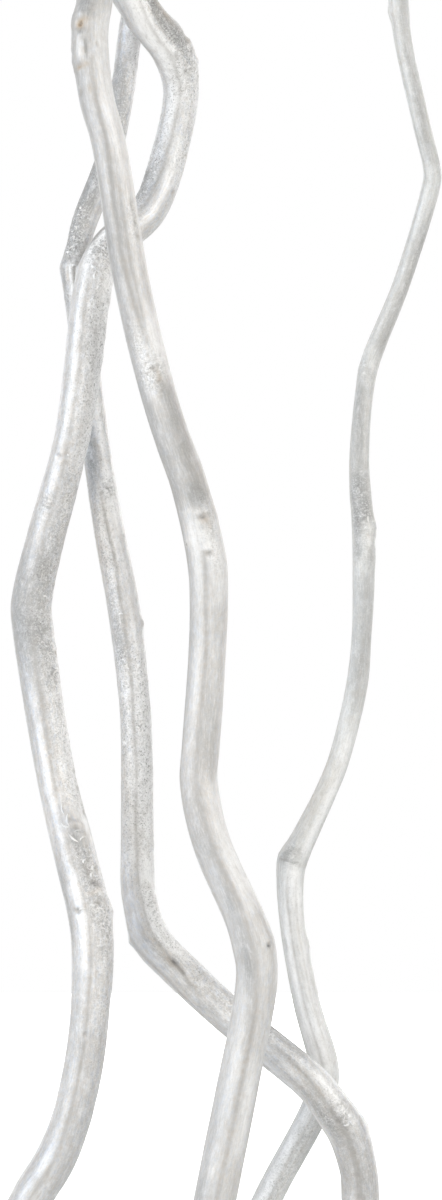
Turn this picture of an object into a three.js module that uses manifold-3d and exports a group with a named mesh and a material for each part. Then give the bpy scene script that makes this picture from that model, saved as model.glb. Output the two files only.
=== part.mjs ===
// Dried curly stems with a silvery coat, standing loosely in the sand filling of a plain vase.
// Millimetres, +Z up. The origin is the centre of the vase's flat foot.
// The view from -Y is the main one: +X is to the right and +Y is away from the viewer.
import * as THREE from 'three';
import { mergeVertices } from 'three/addons/utils/BufferGeometryUtils.js';
import Module from 'manifold-3d';

// The vase: outer radius at chosen heights, wall, floor and rim
const VASE_HEIGHT = 260;
const VASE_OUTLINE = [
  [47, 3], [51, 30], [56, 75], [57.5, 115], [54.5, 160], [46.5, 205], [42, 235], [41.5, 250],
];
const FOOT_RADIUS = 44;
const WALL = 5;
const FLOOR = 8;
const RIM_STEPS = 6;
const OUTLINE_STEPS = 12;
const ROUND_SEGMENTS = 40;

// The sand that holds the stems, with the gap that keeps it clear of its neighbours
const SAND_TOP = 226;
const SAND_HEAP = 3;
const SAND_RIPPLE = 0.8;
const SAND_TOP_RINGS = [0.75, 0.45, 0.2];
const CLEARANCE = 0.3;

// The stems: feet just above the vase's floor, ring spacing, section and ribs
const FOOT_Z = FLOOR + 0.6;
const SECTION_SIDES = 12;
const RING_STEP = 13;
const BURIED_RING_STEP = 40;
const RIB_DEPTH = 0.07;
const KNOB_RING_CLEARANCE = 3;
const HOLE_OVERRUN = 20;

// Bud scars climb each stem in a spiral outside the length that has its own list of knobs
const BUD_SPACING = 64;
const BUD_TURN = 137.5;
const BUD_HEIGHT = 0.7;
const BUD_LENGTH = 3.2;
const LISTED_LOW = 400;
const LISTED_HIGH = 725;
const BUD_TOP_MARGIN = 60;

// Each stem's route and its knobs.
// bends: [x, y, z, thickness] from the foot to the tip.
// knobs: [z, side in degrees, height, length], side 0 = +X, 90 = +Y, -90 = towards the viewer.
// twist: degrees that the ribs turn for each millimetre of height.
const STEMS = [
  {
    name: 'stem_left',
    colour: 0xd3d4d4,
    roughness: 0.32,
    metalness: 0.55,
    ribs: 3,
    twist: 0.16,
    bends: [
      [-12, 7, FOOT_Z, 11.2], [-14.2, 7, 130, 11], [-16, 7, 230, 10.8], [-16.6, 7, 262, 10.8],
      [-17.5, 5, 305, 10.8], [-21, 8, 327, 10.8], [-31, 12, 345, 10.6], [-45, 13, 362, 10.4],
      [-55, 9, 382, 10.4], [-56.5, 4, 400, 10.4], [-47.5, 2, 420, 10.4], [-41.5, 0, 430, 10.4],
      [-37.5, -3, 440, 10], [-35, -6, 450, 10], [-33, -9, 463, 10], [-32, -11, 485, 10.8],
      [-33.5, -10, 495, 10.8], [-36, -8, 505, 10.8], [-41, -1, 525, 10], [-47, 6, 562, 10.4],
      [-47.5, 6, 569, 10.4], [-44, 3, 585, 9.6], [-37.5, -3, 609, 8.8], [-35.5, -4, 620, 9.2],
      [-32, -1, 648, 9.6], [-30.5, 1, 654, 9.2], [-27.5, 3, 659, 9], [-22.5, 4, 663, 9],
      [-18.5, 6, 667, 9], [-15, 9, 675, 9], [-10, 11, 698, 8.8], [-12.5, 7, 708, 10],
      [-19, 2, 716, 9.8], [-21.5, 1, 720, 9.6], [-32, 2, 735, 9.2], [-42, 4, 750, 9.2],
      [-49, 9, 770, 9], [-50, 17, 792, 8.8], [-44, 24, 815, 8.4], [-35, 26, 838, 8.2],
      [-30, 21.5, 862, 8], [-33, 16, 887, 7.6], [-44, 14, 910, 7.2], [-56, 18.5, 932, 6.8],
      [-63, 29, 957, 6.4], [-61, 40, 985, 6], [-53, 44.5, 1010, 5.6], [-48, 41, 1037, 5],
      [-52, 34.5, 1063, 4.4], [-62, 34, 1088, 3.6], [-68, 44, 1115, 3], [-67, 54, 1140, 2.2],
    ],
    knobs: [
      [711, 20, 1.3, 3], [703.5, 0, 1, 3], [553, -60, 0.6, 4], [511, -70, 0.8, 4], [492, 0, 0.8, 3],
    ],
  },
  {
    name: 'stem_front',
    colour: 0xdedcd8,
    roughness: 0.45,
    metalness: 0.25,
    ribs: 4,
    twist: 0.3,
    bends: [
      [4, -12, FOOT_Z, 11.2], [3, -14.1, 130, 11.2], [2.1, -15.8, 230, 11], [1.8, -16.4, 262, 11],
      [3, -16, 305, 10.8], [-1, -19, 327, 10.8], [-6.5, -22, 346, 10.8], [-9.5, -22, 366, 10.6],
      [-8.5, -17, 388, 10.4], [-1.5, -12, 421, 10.4], [3.5, -15, 446, 10.4], [9, -22, 477, 10.4],
      [8, -22, 485, 10.8], [6, -21, 491, 10.2], [-2.5, -13, 510, 9.6], [-5.5, -8, 525, 9.6],
      [-5, -7, 533, 9.6], [-3.5, -5, 555, 9.4], [-3, -7, 570, 9.6], [-3.5, -9, 580, 9.8],
      [-8, -14, 599, 9.2], [-12, -17, 610, 8.8], [-16.5, -18, 625, 8.8], [-22, -18, 648, 8.8],
      [-28, -18, 684, 8.6], [-31, -17, 695, 8.8], [-32.5, -13, 711, 9], [-31.5, -11, 719, 9],
      [-29.5, -10, 738, 8.8], [-23, -8, 760, 8.8], [-14, -8.5, 782, 8.6], [-9, -13, 800, 8.4],
      [-8.5, -22, 820, 8.2], [-13, -33, 845, 8], [-21, -36.5, 870, 7.6], [-26, -33, 895, 7.2],
      [-25, -28, 920, 7], [-17, -25, 948, 6.6], [-7, -29, 975, 6.2], [-2, -40, 1002, 5.8],
      [-5, -51, 1030, 5.2], [-12, -54, 1058, 4.8], [-14, -47.5, 1085, 4.2], [-8, -43.5, 1115, 3.6],
      [0, -47, 1143, 2.8], [3, -55, 1170, 2],
    ],
    knobs: [
      [713.5, -150, 0.8, 3], [703.5, -150, 0.8, 3], [707.5, 180, 0.5, 3], [591, -55, 1, 3.5],
      [580, -50, 0.7, 3], [484, -40, 0.5, 3],
    ],
  },
  {
    name: 'stem_back',
    colour: 0xcfcfce,
    roughness: 0.34,
    metalness: 0.5,
    ribs: 3,
    twist: 0.32,
    bends: [
      [15, 3, FOOT_Z, 10.6], [16, 2, 130, 10.6], [16.9, 1.1, 230, 10.4], [17.2, 0.8, 262, 10.4],
      [17, 0, 305, 10.2], [21, -3, 328, 10], [29, -4, 350, 10], [35, -1, 372, 10],
      [36, 5, 396, 9.8], [35, 7, 420, 9.8], [34.5, 5, 427, 9.6], [32, 3, 436, 10.2],
      [29, 2, 441, 10], [23, 1, 449, 9.6], [3, 4, 465, 9.2], [-8, 7, 475, 9.4],
      [-16.5, 11, 484, 9.2], [-20.5, 13, 495, 8.8], [-21, 12, 512, 8.4], [-21.5, 8, 542, 7.8],
      [-24.5, 8, 569, 8.2], [-28.5, 11, 590, 7.6], [-32, 12, 613, 7], [-35, 10, 639, 6.8],
      [-36.5, 9, 654, 6.8], [-35.5, 9, 661, 6.8], [-28.5, 9, 680, 6.4], [-25, 10, 696, 6],
      [-23, 12, 711, 6], [-21.5, 13, 721, 6], [-19.5, 14, 740, 6], [-13, 13.5, 765, 5.6],
      [-3, 14, 788, 5.6], [5, 20, 810, 5.4], [8, 31, 835, 5.2], [4, 40.5, 862, 5],
      [-2, 42.5, 888, 4.8], [-3, 39, 912, 4.4], [5, 36, 938, 4.2], [16, 40, 962, 4],
      [22, 52, 988, 3.6], [20, 62, 1015, 3.2], [15, 62, 1042, 2.8], [17, 58.5, 1068, 2.4],
      [24, 64, 1092, 2],
    ],
    knobs: [
      [654, 180, 0.7, 3], [486, 180, 0.8, 4], [443, -80, 0.7, 3.5], [440, 0, 0.9, 3.5],
    ],
  },
  {
    name: 'stem_right',
    colour: 0xdcdad6,
    roughness: 0.45,
    metalness: 0.25,
    ribs: 3,
    twist: 0.4,
    bends: [
      [-1, 17, FOOT_Z, 8.4], [-2, 17, 130, 8.4], [-2.9, 17, 230, 8.2], [-3.2, 17, 262, 8],
      [-5, 17.5, 305, 8], [-8, 20, 322, 7.8], [-11, 22, 342, 7.6], [-10.5, 22, 362, 7.6],
      [-5, 19, 383, 7.4], [11.5, 15, 419, 7.2], [14, 14, 424, 7.2], [24, 13, 443, 7.4],
      [26, 13, 451, 7.4], [21.5, 14, 469, 6.8], [18, 16, 488, 6.4], [17.5, 15, 501, 7],
      [18.5, 15, 505, 6.8], [25.5, 10, 520, 5.6], [29.5, 6, 530, 5.4], [34, 0, 549, 5.4],
      [35, -3, 560, 5], [35.5, -5, 572, 5.4], [35.5, -6, 586, 5.6], [34.5, -3, 604, 5],
      [36, 3, 623, 4.6], [37.5, 5, 630, 4.8], [45.5, 9, 650, 4.4], [52.5, 9, 673, 4.6],
      [53, 8, 677, 4.4], [50, 4, 690, 4.4], [45.5, 1, 710, 4.4], [44.5, 0, 720, 4.8],
      [43.5, -3, 735, 4.6], [46, -9, 757, 4.4], [54, -13, 780, 4.2], [61, -12.5, 802, 4],
      [63, -8.5, 825, 3.8], [58, -5.5, 850, 3.6], [52, -10, 875, 3.2], [51, -18.5, 898, 3.2],
      [58, -25.5, 922, 2.8], [67, -27.5, 945, 2.4], [71, -21.5, 970, 2.2], [68, -20, 995, 1.8],
    ],
    knobs: [
      [717.5, 180, 0.8, 2.5], [627.5, -70, 0.5, 2.5], [596, -100, 0.6, 2.5], [588, 0, 0.6, 2.5],
      [581, -60, 0.5, 2.5], [504.5, 180, 0.8, 3], [506, -80, 0.6, 3], [482.5, 0, 0.5, 2.5],
    ],
  },
];

const wasm = await Module();
wasm.setup();

// Solids for joining and cutting

function toSolid(geometry) {
  const bare = geometry.clone();
  bare.deleteAttribute('normal');
  bare.deleteAttribute('uv');
  const merged = mergeVertices(bare, 1e-4);
  const index = merged.index.array;
  const corners = [];
  for (let i = 0; i < index.length; i += 3) {
    const [a, b, c] = [index[i], index[i + 1], index[i + 2]];
    if (a !== b && b !== c && c !== a) corners.push(a, b, c);
  }
  const triVerts = new Uint32Array(corners);
  const vertProperties = new Float32Array(merged.attributes.position.array);
  return new wasm.Manifold(new wasm.Mesh({ numProp: 3, vertProperties, triVerts }));
}

function toGeometry(solid) {
  const mesh = solid.getMesh();
  const geometry = new THREE.BufferGeometry();
  geometry.setAttribute('position', new THREE.BufferAttribute(mesh.vertProperties, 3));
  geometry.setIndex(new THREE.BufferAttribute(mesh.triVerts, 1));
  geometry.computeVertexNormals();
  return geometry;
}

function cylinderBetween(start, end, radius) {
  const along = end.clone().sub(start);
  const geometry = new THREE.CylinderGeometry(radius, radius, along.length(), SECTION_SIDES);
  const turn = new THREE.Quaternion().setFromUnitVectors(
    new THREE.Vector3(0, 1, 0),
    along.clone().normalize(),
  );
  geometry.applyQuaternion(turn);
  const middle = start.clone().lerp(end, 0.5);
  geometry.translate(middle.x, middle.y, middle.z);
  return toSolid(geometry);
}

// The vase and its sand, turned from profiles of [radius, height]

function turned(profile) {
  const points = profile.map(([radius, height]) => new THREE.Vector2(radius, height));
  const geometry = new THREE.LatheGeometry(points, ROUND_SEGMENTS);
  geometry.rotateX(Math.PI / 2);
  return geometry;
}

function outlineCurve() {
  return new THREE.SplineCurve(VASE_OUTLINE.map(([radius, height]) => new THREE.Vector2(radius, height)));
}

function vaseProfile() {
  const outer = outlineCurve().getPoints(OUTLINE_STEPS).map((point) => [point.x, point.y]);
  const [topRadius, topHeight] = outer[outer.length - 1];
  const rim = [];
  for (let i = 0; i <= RIM_STEPS; i += 1) {
    const angle = (Math.PI * i) / RIM_STEPS;
    const radius = topRadius - WALL / 2 + (WALL / 2) * Math.cos(angle);
    rim.push([radius, topHeight + (VASE_HEIGHT - topHeight) * Math.sin(angle)]);
  }
  const inner = innerWall();
  return [[0, 0], [FOOT_RADIUS, 0], ...outer.slice(0, -1), ...rim, ...inner, [0, FLOOR]];
}

function innerWall() {
  const heights = outlineCurve().getPoints(OUTLINE_STEPS).reverse().slice(1);
  const wall = heights.map((point) => [point.x - WALL, Math.max(point.y, FLOOR)]);
  return wall.filter(([, height], i) => i === 0 || height < wall[i - 1][1]);
}

function sandProfile() {
  const wall = innerWall().reverse();
  const side = wall.filter(([, height]) => height < SAND_TOP).map(([r, h]) => [r - CLEARANCE, h]);
  side[0][1] = FLOOR + CLEARANCE;
  const above = wall.find(([, height]) => height >= SAND_TOP);
  const below = wall[side.length - 1];
  const share = (SAND_TOP - below[1]) / (above[1] - below[1]);
  const edge = below[0] + (above[0] - below[0]) * share - CLEARANCE;
  const top = SAND_TOP_RINGS.map((part) => [edge * part, SAND_TOP]);
  return [[0, FLOOR + CLEARANCE], ...side, [edge, SAND_TOP], ...top, [0, SAND_TOP]];
}

function sandHeight(x, y) {
  const out = Math.hypot(x, y);
  const heap = SAND_HEAP * Math.cos((Math.PI / 2) * Math.min(1, out / FOOT_RADIUS));
  return heap + SAND_RIPPLE * Math.sin(x * 0.21 + 0.7) * Math.cos(y * 0.17 - x * 0.08);
}

function raiseSandTop(geometry) {
  const position = geometry.attributes.position;
  for (let i = 0; i < position.count; i += 1) {
    if (position.getZ(i) > SAND_TOP - 0.01) {
      position.setZ(i, SAND_TOP + sandHeight(position.getX(i), position.getY(i)));
    }
  }
  return geometry;
}

function stemHole(stem) {
  const [foot, , exit] = stem.bends;
  const start = new THREE.Vector3(...foot.slice(0, 3));
  const end = new THREE.Vector3(...exit.slice(0, 3));
  const overrun = end.clone().sub(start).setLength(HOLE_OVERRUN);
  const stemRadius = (foot[3] / 2) * (1 + RIB_DEPTH);
  const radius = (stemRadius + CLEARANCE) / Math.cos(Math.PI / SECTION_SIDES);
  return cylinderBetween(start.sub(overrun), end.add(overrun), radius);
}

function sandGeometry() {
  let sand = toSolid(raiseSandTop(turned(sandProfile())));
  for (const stem of STEMS) {
    sand = sand.subtract(stemHole(stem));
  }
  return toGeometry(sand);
}

// A stem: rings of a ribbed section along the route, closed at the foot and at the tip

function routeOf(stem) {
  const points = stem.bends.map(([x, y, z]) => new THREE.Vector3(x, y, z));
  return new THREE.CatmullRomCurve3(points, false, 'centripetal');
}

// Every route climbs all the way, so a height names one place on it
function placeAtHeight(route, height) {
  let low = 0;
  let high = 1;
  for (let i = 0; i < 40; i += 1) {
    const middle = (low + high) / 2;
    if (route.getPoint(middle).z < height) low = middle;
    else high = middle;
  }
  return (low + high) / 2;
}

function thicknessAt(stem, place) {
  const along = place * (stem.bends.length - 1);
  const i = Math.min(Math.floor(along), stem.bends.length - 2);
  return THREE.MathUtils.lerp(stem.bends[i][3], stem.bends[i + 1][3], along - i);
}

function knobsOf(stem) {
  const tip = stem.bends[stem.bends.length - 1][2];
  const knobs = [...stem.knobs];
  let side = stem.knobs[0][1];
  for (let z = VASE_HEIGHT + BUD_SPACING / 2; z < tip - BUD_TOP_MARGIN; z += BUD_SPACING) {
    side += BUD_TURN;
    const shrink = thicknessAt(stem, placeAtHeight(routeOf(stem), z)) / stem.bends[0][3];
    if (z < LISTED_LOW || z > LISTED_HIGH) {
      knobs.push([z, side, BUD_HEIGHT * shrink, BUD_LENGTH * Math.sqrt(shrink)]);
    }
  }
  return knobs;
}

function ringHeights(stem, knobs) {
  const nearKnobs = knobs.flatMap(([z, , , length]) => [z - length, z, z + length]);
  const spread = [stem.bends[0][2]];
  for (let i = 1; i < stem.bends.length; i += 1) {
    const [low, high] = [stem.bends[i - 1], stem.bends[i]];
    const reach = Math.hypot(high[0] - low[0], high[1] - low[1], high[2] - low[2]);
    const step = low[2] < SAND_TOP ? BURIED_RING_STEP : RING_STEP;
    const steps = Math.max(1, Math.round(reach / step));
    for (let j = 1; j <= steps; j += 1) {
      spread.push(low[2] + ((high[2] - low[2]) * j) / steps);
    }
  }
  const last = spread.length - 1;
  const clear = spread.filter((z, i) => (
    i === 0 || i === last || nearKnobs.every((near) => Math.abs(near - z) > KNOB_RING_CLEARANCE)
  ));
  return [...clear, ...nearKnobs].sort((a, b) => a - b);
}

// How far the knobs lift the skin at a height, on the side that an angle in radians names
function knobRise(knobs, z, angle, radius) {
  let rise = 0;
  for (const [height, side, lift, length] of knobs) {
    const turn = angle - THREE.MathUtils.degToRad(side);
    const round = Math.atan2(Math.sin(turn), Math.cos(turn)) * radius;
    rise += lift * Math.exp(-((z - height) ** 2 + round ** 2) / (length * length));
  }
  return rise;
}

function ring(stem, route, knobs, z) {
  const place = placeAtHeight(route, z);
  const centre = route.getPoint(place);
  const tangent = route.getTangent(place);
  const right = new THREE.Vector3(1, 0, 0);
  right.addScaledVector(tangent, -right.dot(tangent)).normalize();
  const away = tangent.clone().cross(right);
  const radius = thicknessAt(stem, place) / 2;
  const points = [];
  for (let k = 0; k < SECTION_SIDES; k += 1) {
    const turn = (2 * Math.PI * k) / SECTION_SIDES;
    const angle = turn + THREE.MathUtils.degToRad(stem.twist * z);
    const rib = radius * RIB_DEPTH * Math.cos(stem.ribs * turn);
    const out = radius + rib + knobRise(knobs, z, angle, radius);
    const point = centre.clone().addScaledVector(right, out * Math.cos(angle));
    points.push(point.addScaledVector(away, out * Math.sin(angle)));
  }
  return { centre, points };
}

function stemGeometry(stem) {
  const route = routeOf(stem);
  const knobs = knobsOf(stem);
  const rings = ringHeights(stem, knobs).map((z) => ring(stem, route, knobs, z));
  const corners = rings.flatMap((one) => one.points);
  const foot = corners.length;
  const tip = foot + 1;
  corners.push(rings[0].centre, rings[rings.length - 1].centre);
  const faces = [];
  for (let k = 0; k < SECTION_SIDES; k += 1) {
    const next = (k + 1) % SECTION_SIDES;
    for (let i = 0; i < rings.length - 1; i += 1) {
      const low = i * SECTION_SIDES;
      const high = low + SECTION_SIDES;
      faces.push(low + k, low + next, high + next);
      faces.push(low + k, high + next, high + k);
    }
    const top = (rings.length - 1) * SECTION_SIDES;
    faces.push(foot, next, k);
    faces.push(tip, top + k, top + next);
  }
  const geometry = new THREE.BufferGeometry().setFromPoints(corners);
  geometry.setIndex(faces);
  geometry.computeVertexNormals();
  return geometry;
}

// The assembly

function piece(name, geometry, colour, roughness, metalness) {
  const material = new THREE.MeshStandardMaterial({ color: colour, roughness, metalness });
  const mesh = new THREE.Mesh(geometry, material);
  mesh.name = name;
  return mesh;
}

const arrangement = new THREE.Group();
arrangement.add(piece('vase', turned(vaseProfile()), 0xe9e6df, 0.6, 0));
arrangement.add(piece('sand_fill', sandGeometry(), 0xcfc6b4, 0.95, 0));
for (const stem of STEMS) {
  arrangement.add(piece(stem.name, stemGeometry(stem), stem.colour, stem.roughness, stem.metalness));
}

export default arrangement;
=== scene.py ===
"""Dried curly stems with a silvery coat in a plain vase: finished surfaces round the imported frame."""
import math

import bpy
import numpy as np
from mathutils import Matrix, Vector


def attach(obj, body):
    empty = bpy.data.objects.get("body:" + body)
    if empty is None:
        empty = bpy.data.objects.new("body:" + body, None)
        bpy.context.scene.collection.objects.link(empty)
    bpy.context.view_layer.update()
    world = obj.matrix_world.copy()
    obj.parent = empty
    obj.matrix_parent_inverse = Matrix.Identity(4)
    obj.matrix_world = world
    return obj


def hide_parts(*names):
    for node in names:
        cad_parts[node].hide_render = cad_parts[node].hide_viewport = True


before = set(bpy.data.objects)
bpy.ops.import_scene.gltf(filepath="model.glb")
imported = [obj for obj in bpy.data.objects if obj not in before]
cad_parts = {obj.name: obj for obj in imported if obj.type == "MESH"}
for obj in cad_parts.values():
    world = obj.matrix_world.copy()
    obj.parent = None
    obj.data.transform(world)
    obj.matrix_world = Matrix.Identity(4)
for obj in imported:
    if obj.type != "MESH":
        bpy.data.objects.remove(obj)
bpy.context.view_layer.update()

# Lengths below are in millimetres, as the routes are, and become metres when a mesh is made
MM = 0.001

# The camera: a long lens, level, at the height of the middle of the view
VIEW_CENTRE = (0, 0, 570)
VIEW_HEIGHT = 300
LENS = 300
SENSOR = 36
CLIP_END = 100

# The studio: how bright the room is before and behind the object, and the tall light panels round it,
# each with its direction and half its width in degrees (0 = the camera's, + to the right) and its light
ROOM_FRONT = 0.365
ROOM_BACK = 0.48
PANELS = [
    (-62, 16, (2.2, 2.48, 2.9)), (-28, 11, (2.1, 1.96, 1.74)), (46, 14, (3.05, 3.0, 2.9)),
    (-140, 12, (1.3, 1.3, 1.3)), (140, 14, (2.1, 2.1, 2.1)),
]
PANEL_LIFT = 10
PANEL_HALF_HEIGHT = 34

# The lamps: place and size in metres, power, and whether one lights the stems alone
LAMPS = {
    "overhead": ((0, -0.6, 4.5), (3, 3), 24, False),
    "low_fill": ((-0.85, -1.35, 0.28), (1.0, 0.5), 4.0, True),
}

# The ground: a wide disc just below the vase's foot
GROUND_RADIUS = 12000
GROUND_SIDES = 96
GROUND_DROP = 0.5

# It glows white away from the object: where that starts and is full, in metres, and how strongly
GLOW_NEAR = 4
GLOW_FAR = 11
GLOW = 1.0

# The vase: outer radius at chosen heights, wall, floor and rim
VASE_HEIGHT = 260
VASE_OUTLINE = [
    (47, 3), (51, 30), (56, 75), (57.5, 115), (54.5, 160), (46.5, 205), (42, 235), (41.5, 250),
]
FOOT_RADIUS = 44
WALL = 5
FLOOR = 8
CORNER = 3
VASE_SEGMENTS = 176
OUTER_RINGS = 90
INNER_RINGS = 60
OUTLINE_STEPS = 12

# The sand
SAND_TOP = 226
SAND_HEAP = 3
SAND_RIPPLE = 0.8
SAND_LUMPS = 0.35
SAND_GRAINS = 0.12
SAND_SEGMENTS = 150
SAND_SIDE_RINGS = 24
SAND_TOP_RINGS = 52
CLEARANCE = 0.3

# The stems' rings: corners in a ring, and the spacing along the stem
FOOT_Z = FLOOR + 0.6
STEM_SIDES = 80
BURIED_TOP = 215
WINDOW_LOW = 400
WINDOW_HIGH = 735
RING_BURIED = 8
RING_PLAIN = 2
RING_FINE = 0.46

# Bud scars climb each stem in a spiral outside the length that has its own list of knobs
BUD_SPACING = 64
BUD_TURN = 137.5
BUD_HEIGHT = 0.7
BUD_LENGTH = 3.2
LISTED_LOW = 400
LISTED_HIGH = 725
BUD_TOP_MARGIN = 60

# How deep the marks go, as shares of the depth that a stem's list gives them
GROOVE_WIDE = 1.5
GROOVE_FINE = 0.5
GROOVE_DEPTH = 0.36
CREASE_DEPTH = 0.12
GROOVE_SHOULDER = 0.3
PIT_DEPTH = 1.45
PIT_RIM = 0.45
PIT_RIM_SIZE = 1.8
COLLAR_EDGE = 0.5

# How deep the skin's small unevenness is, in mm
KNOB_WRINKLE = 0.08
WRINKLE_DEPTH = 0.1
GRAIN_DEPTH = 0.06
LUMP_DEPTH = 0.12
PLAIN_GRAIN = 0.012

# The peeled flakes of the coat: steps along one, width and thickness, and how much painted highlight
# lightens their upper faces
FLAKE_STEPS = 8
FLAKE_WIDTH = 0.42
FLAKE_THICKNESS = 0.2
FLAKE_HIGHLIGHT = 0.5


def patch(low, rising, falling, high, side, amount, width):
    """A line that keeps to one side of the stem and fades out towards both of its ends."""
    return [(low, side, 0, width), (rising, side, amount, width), (falling, side, amount, width),
            (high, side, 0, width)]


def track(side, width, *stops):
    """A line that keeps to one side and one width: each stop is (z, amount)."""
    return [(z, side, amount, width) for z, amount in stops]


# Each stem's route and what marks its skin. A side is an angle round the stem in degrees:
# 0 = +X, 90 = +Y, -90 = towards the viewer. Lengths are in mm.
# coat: what the stem is coated with. look: the coat's shade, where it differs from the coat's own.
# seed: for the random draws. grain: how grainy the skin is everywhere.
# flakes: how many small flakes of coat lie scattered where the skin is grainy.
# bends: (x, y, z, thickness) from the foot to the tip.
# knobs: (z, side, height, length) of the stubs and bud scars.
# grooves, grains, tones_and_painted_light: lines along the stem, each of (z, side, amount, width) points:
# the amount is the depth of a groove, how grainy the skin is from 0 to 1, or how much lighter or darker it
# is; the lighter and darker lines are partly the coat's uneven tone and partly painted highlights and
# painted shade.
# pits: (z, side, depth, length, width) of the small hollows and cracks.
# scars: (z, side, strength, length, width) of the ochre patches at old buds.
# ridges: (z, side, height, length, width) of the small raised marks.
# collars: (z, side, height, fall, width) of the splinters where a node's old skin ends in an edge; the
# height also lightens the splinters, as a painted highlight.
# wrinkles: (z, side, strength, length, width) of the patches with fine creases across the stem.
# curls: (z, side, length, heading, bend, lift) of the flakes of coat that have peeled up. A heading
# is 0 up the stem and 90 round it, and the bend is how far the flake turns along its length.
STEMS = {}

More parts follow.
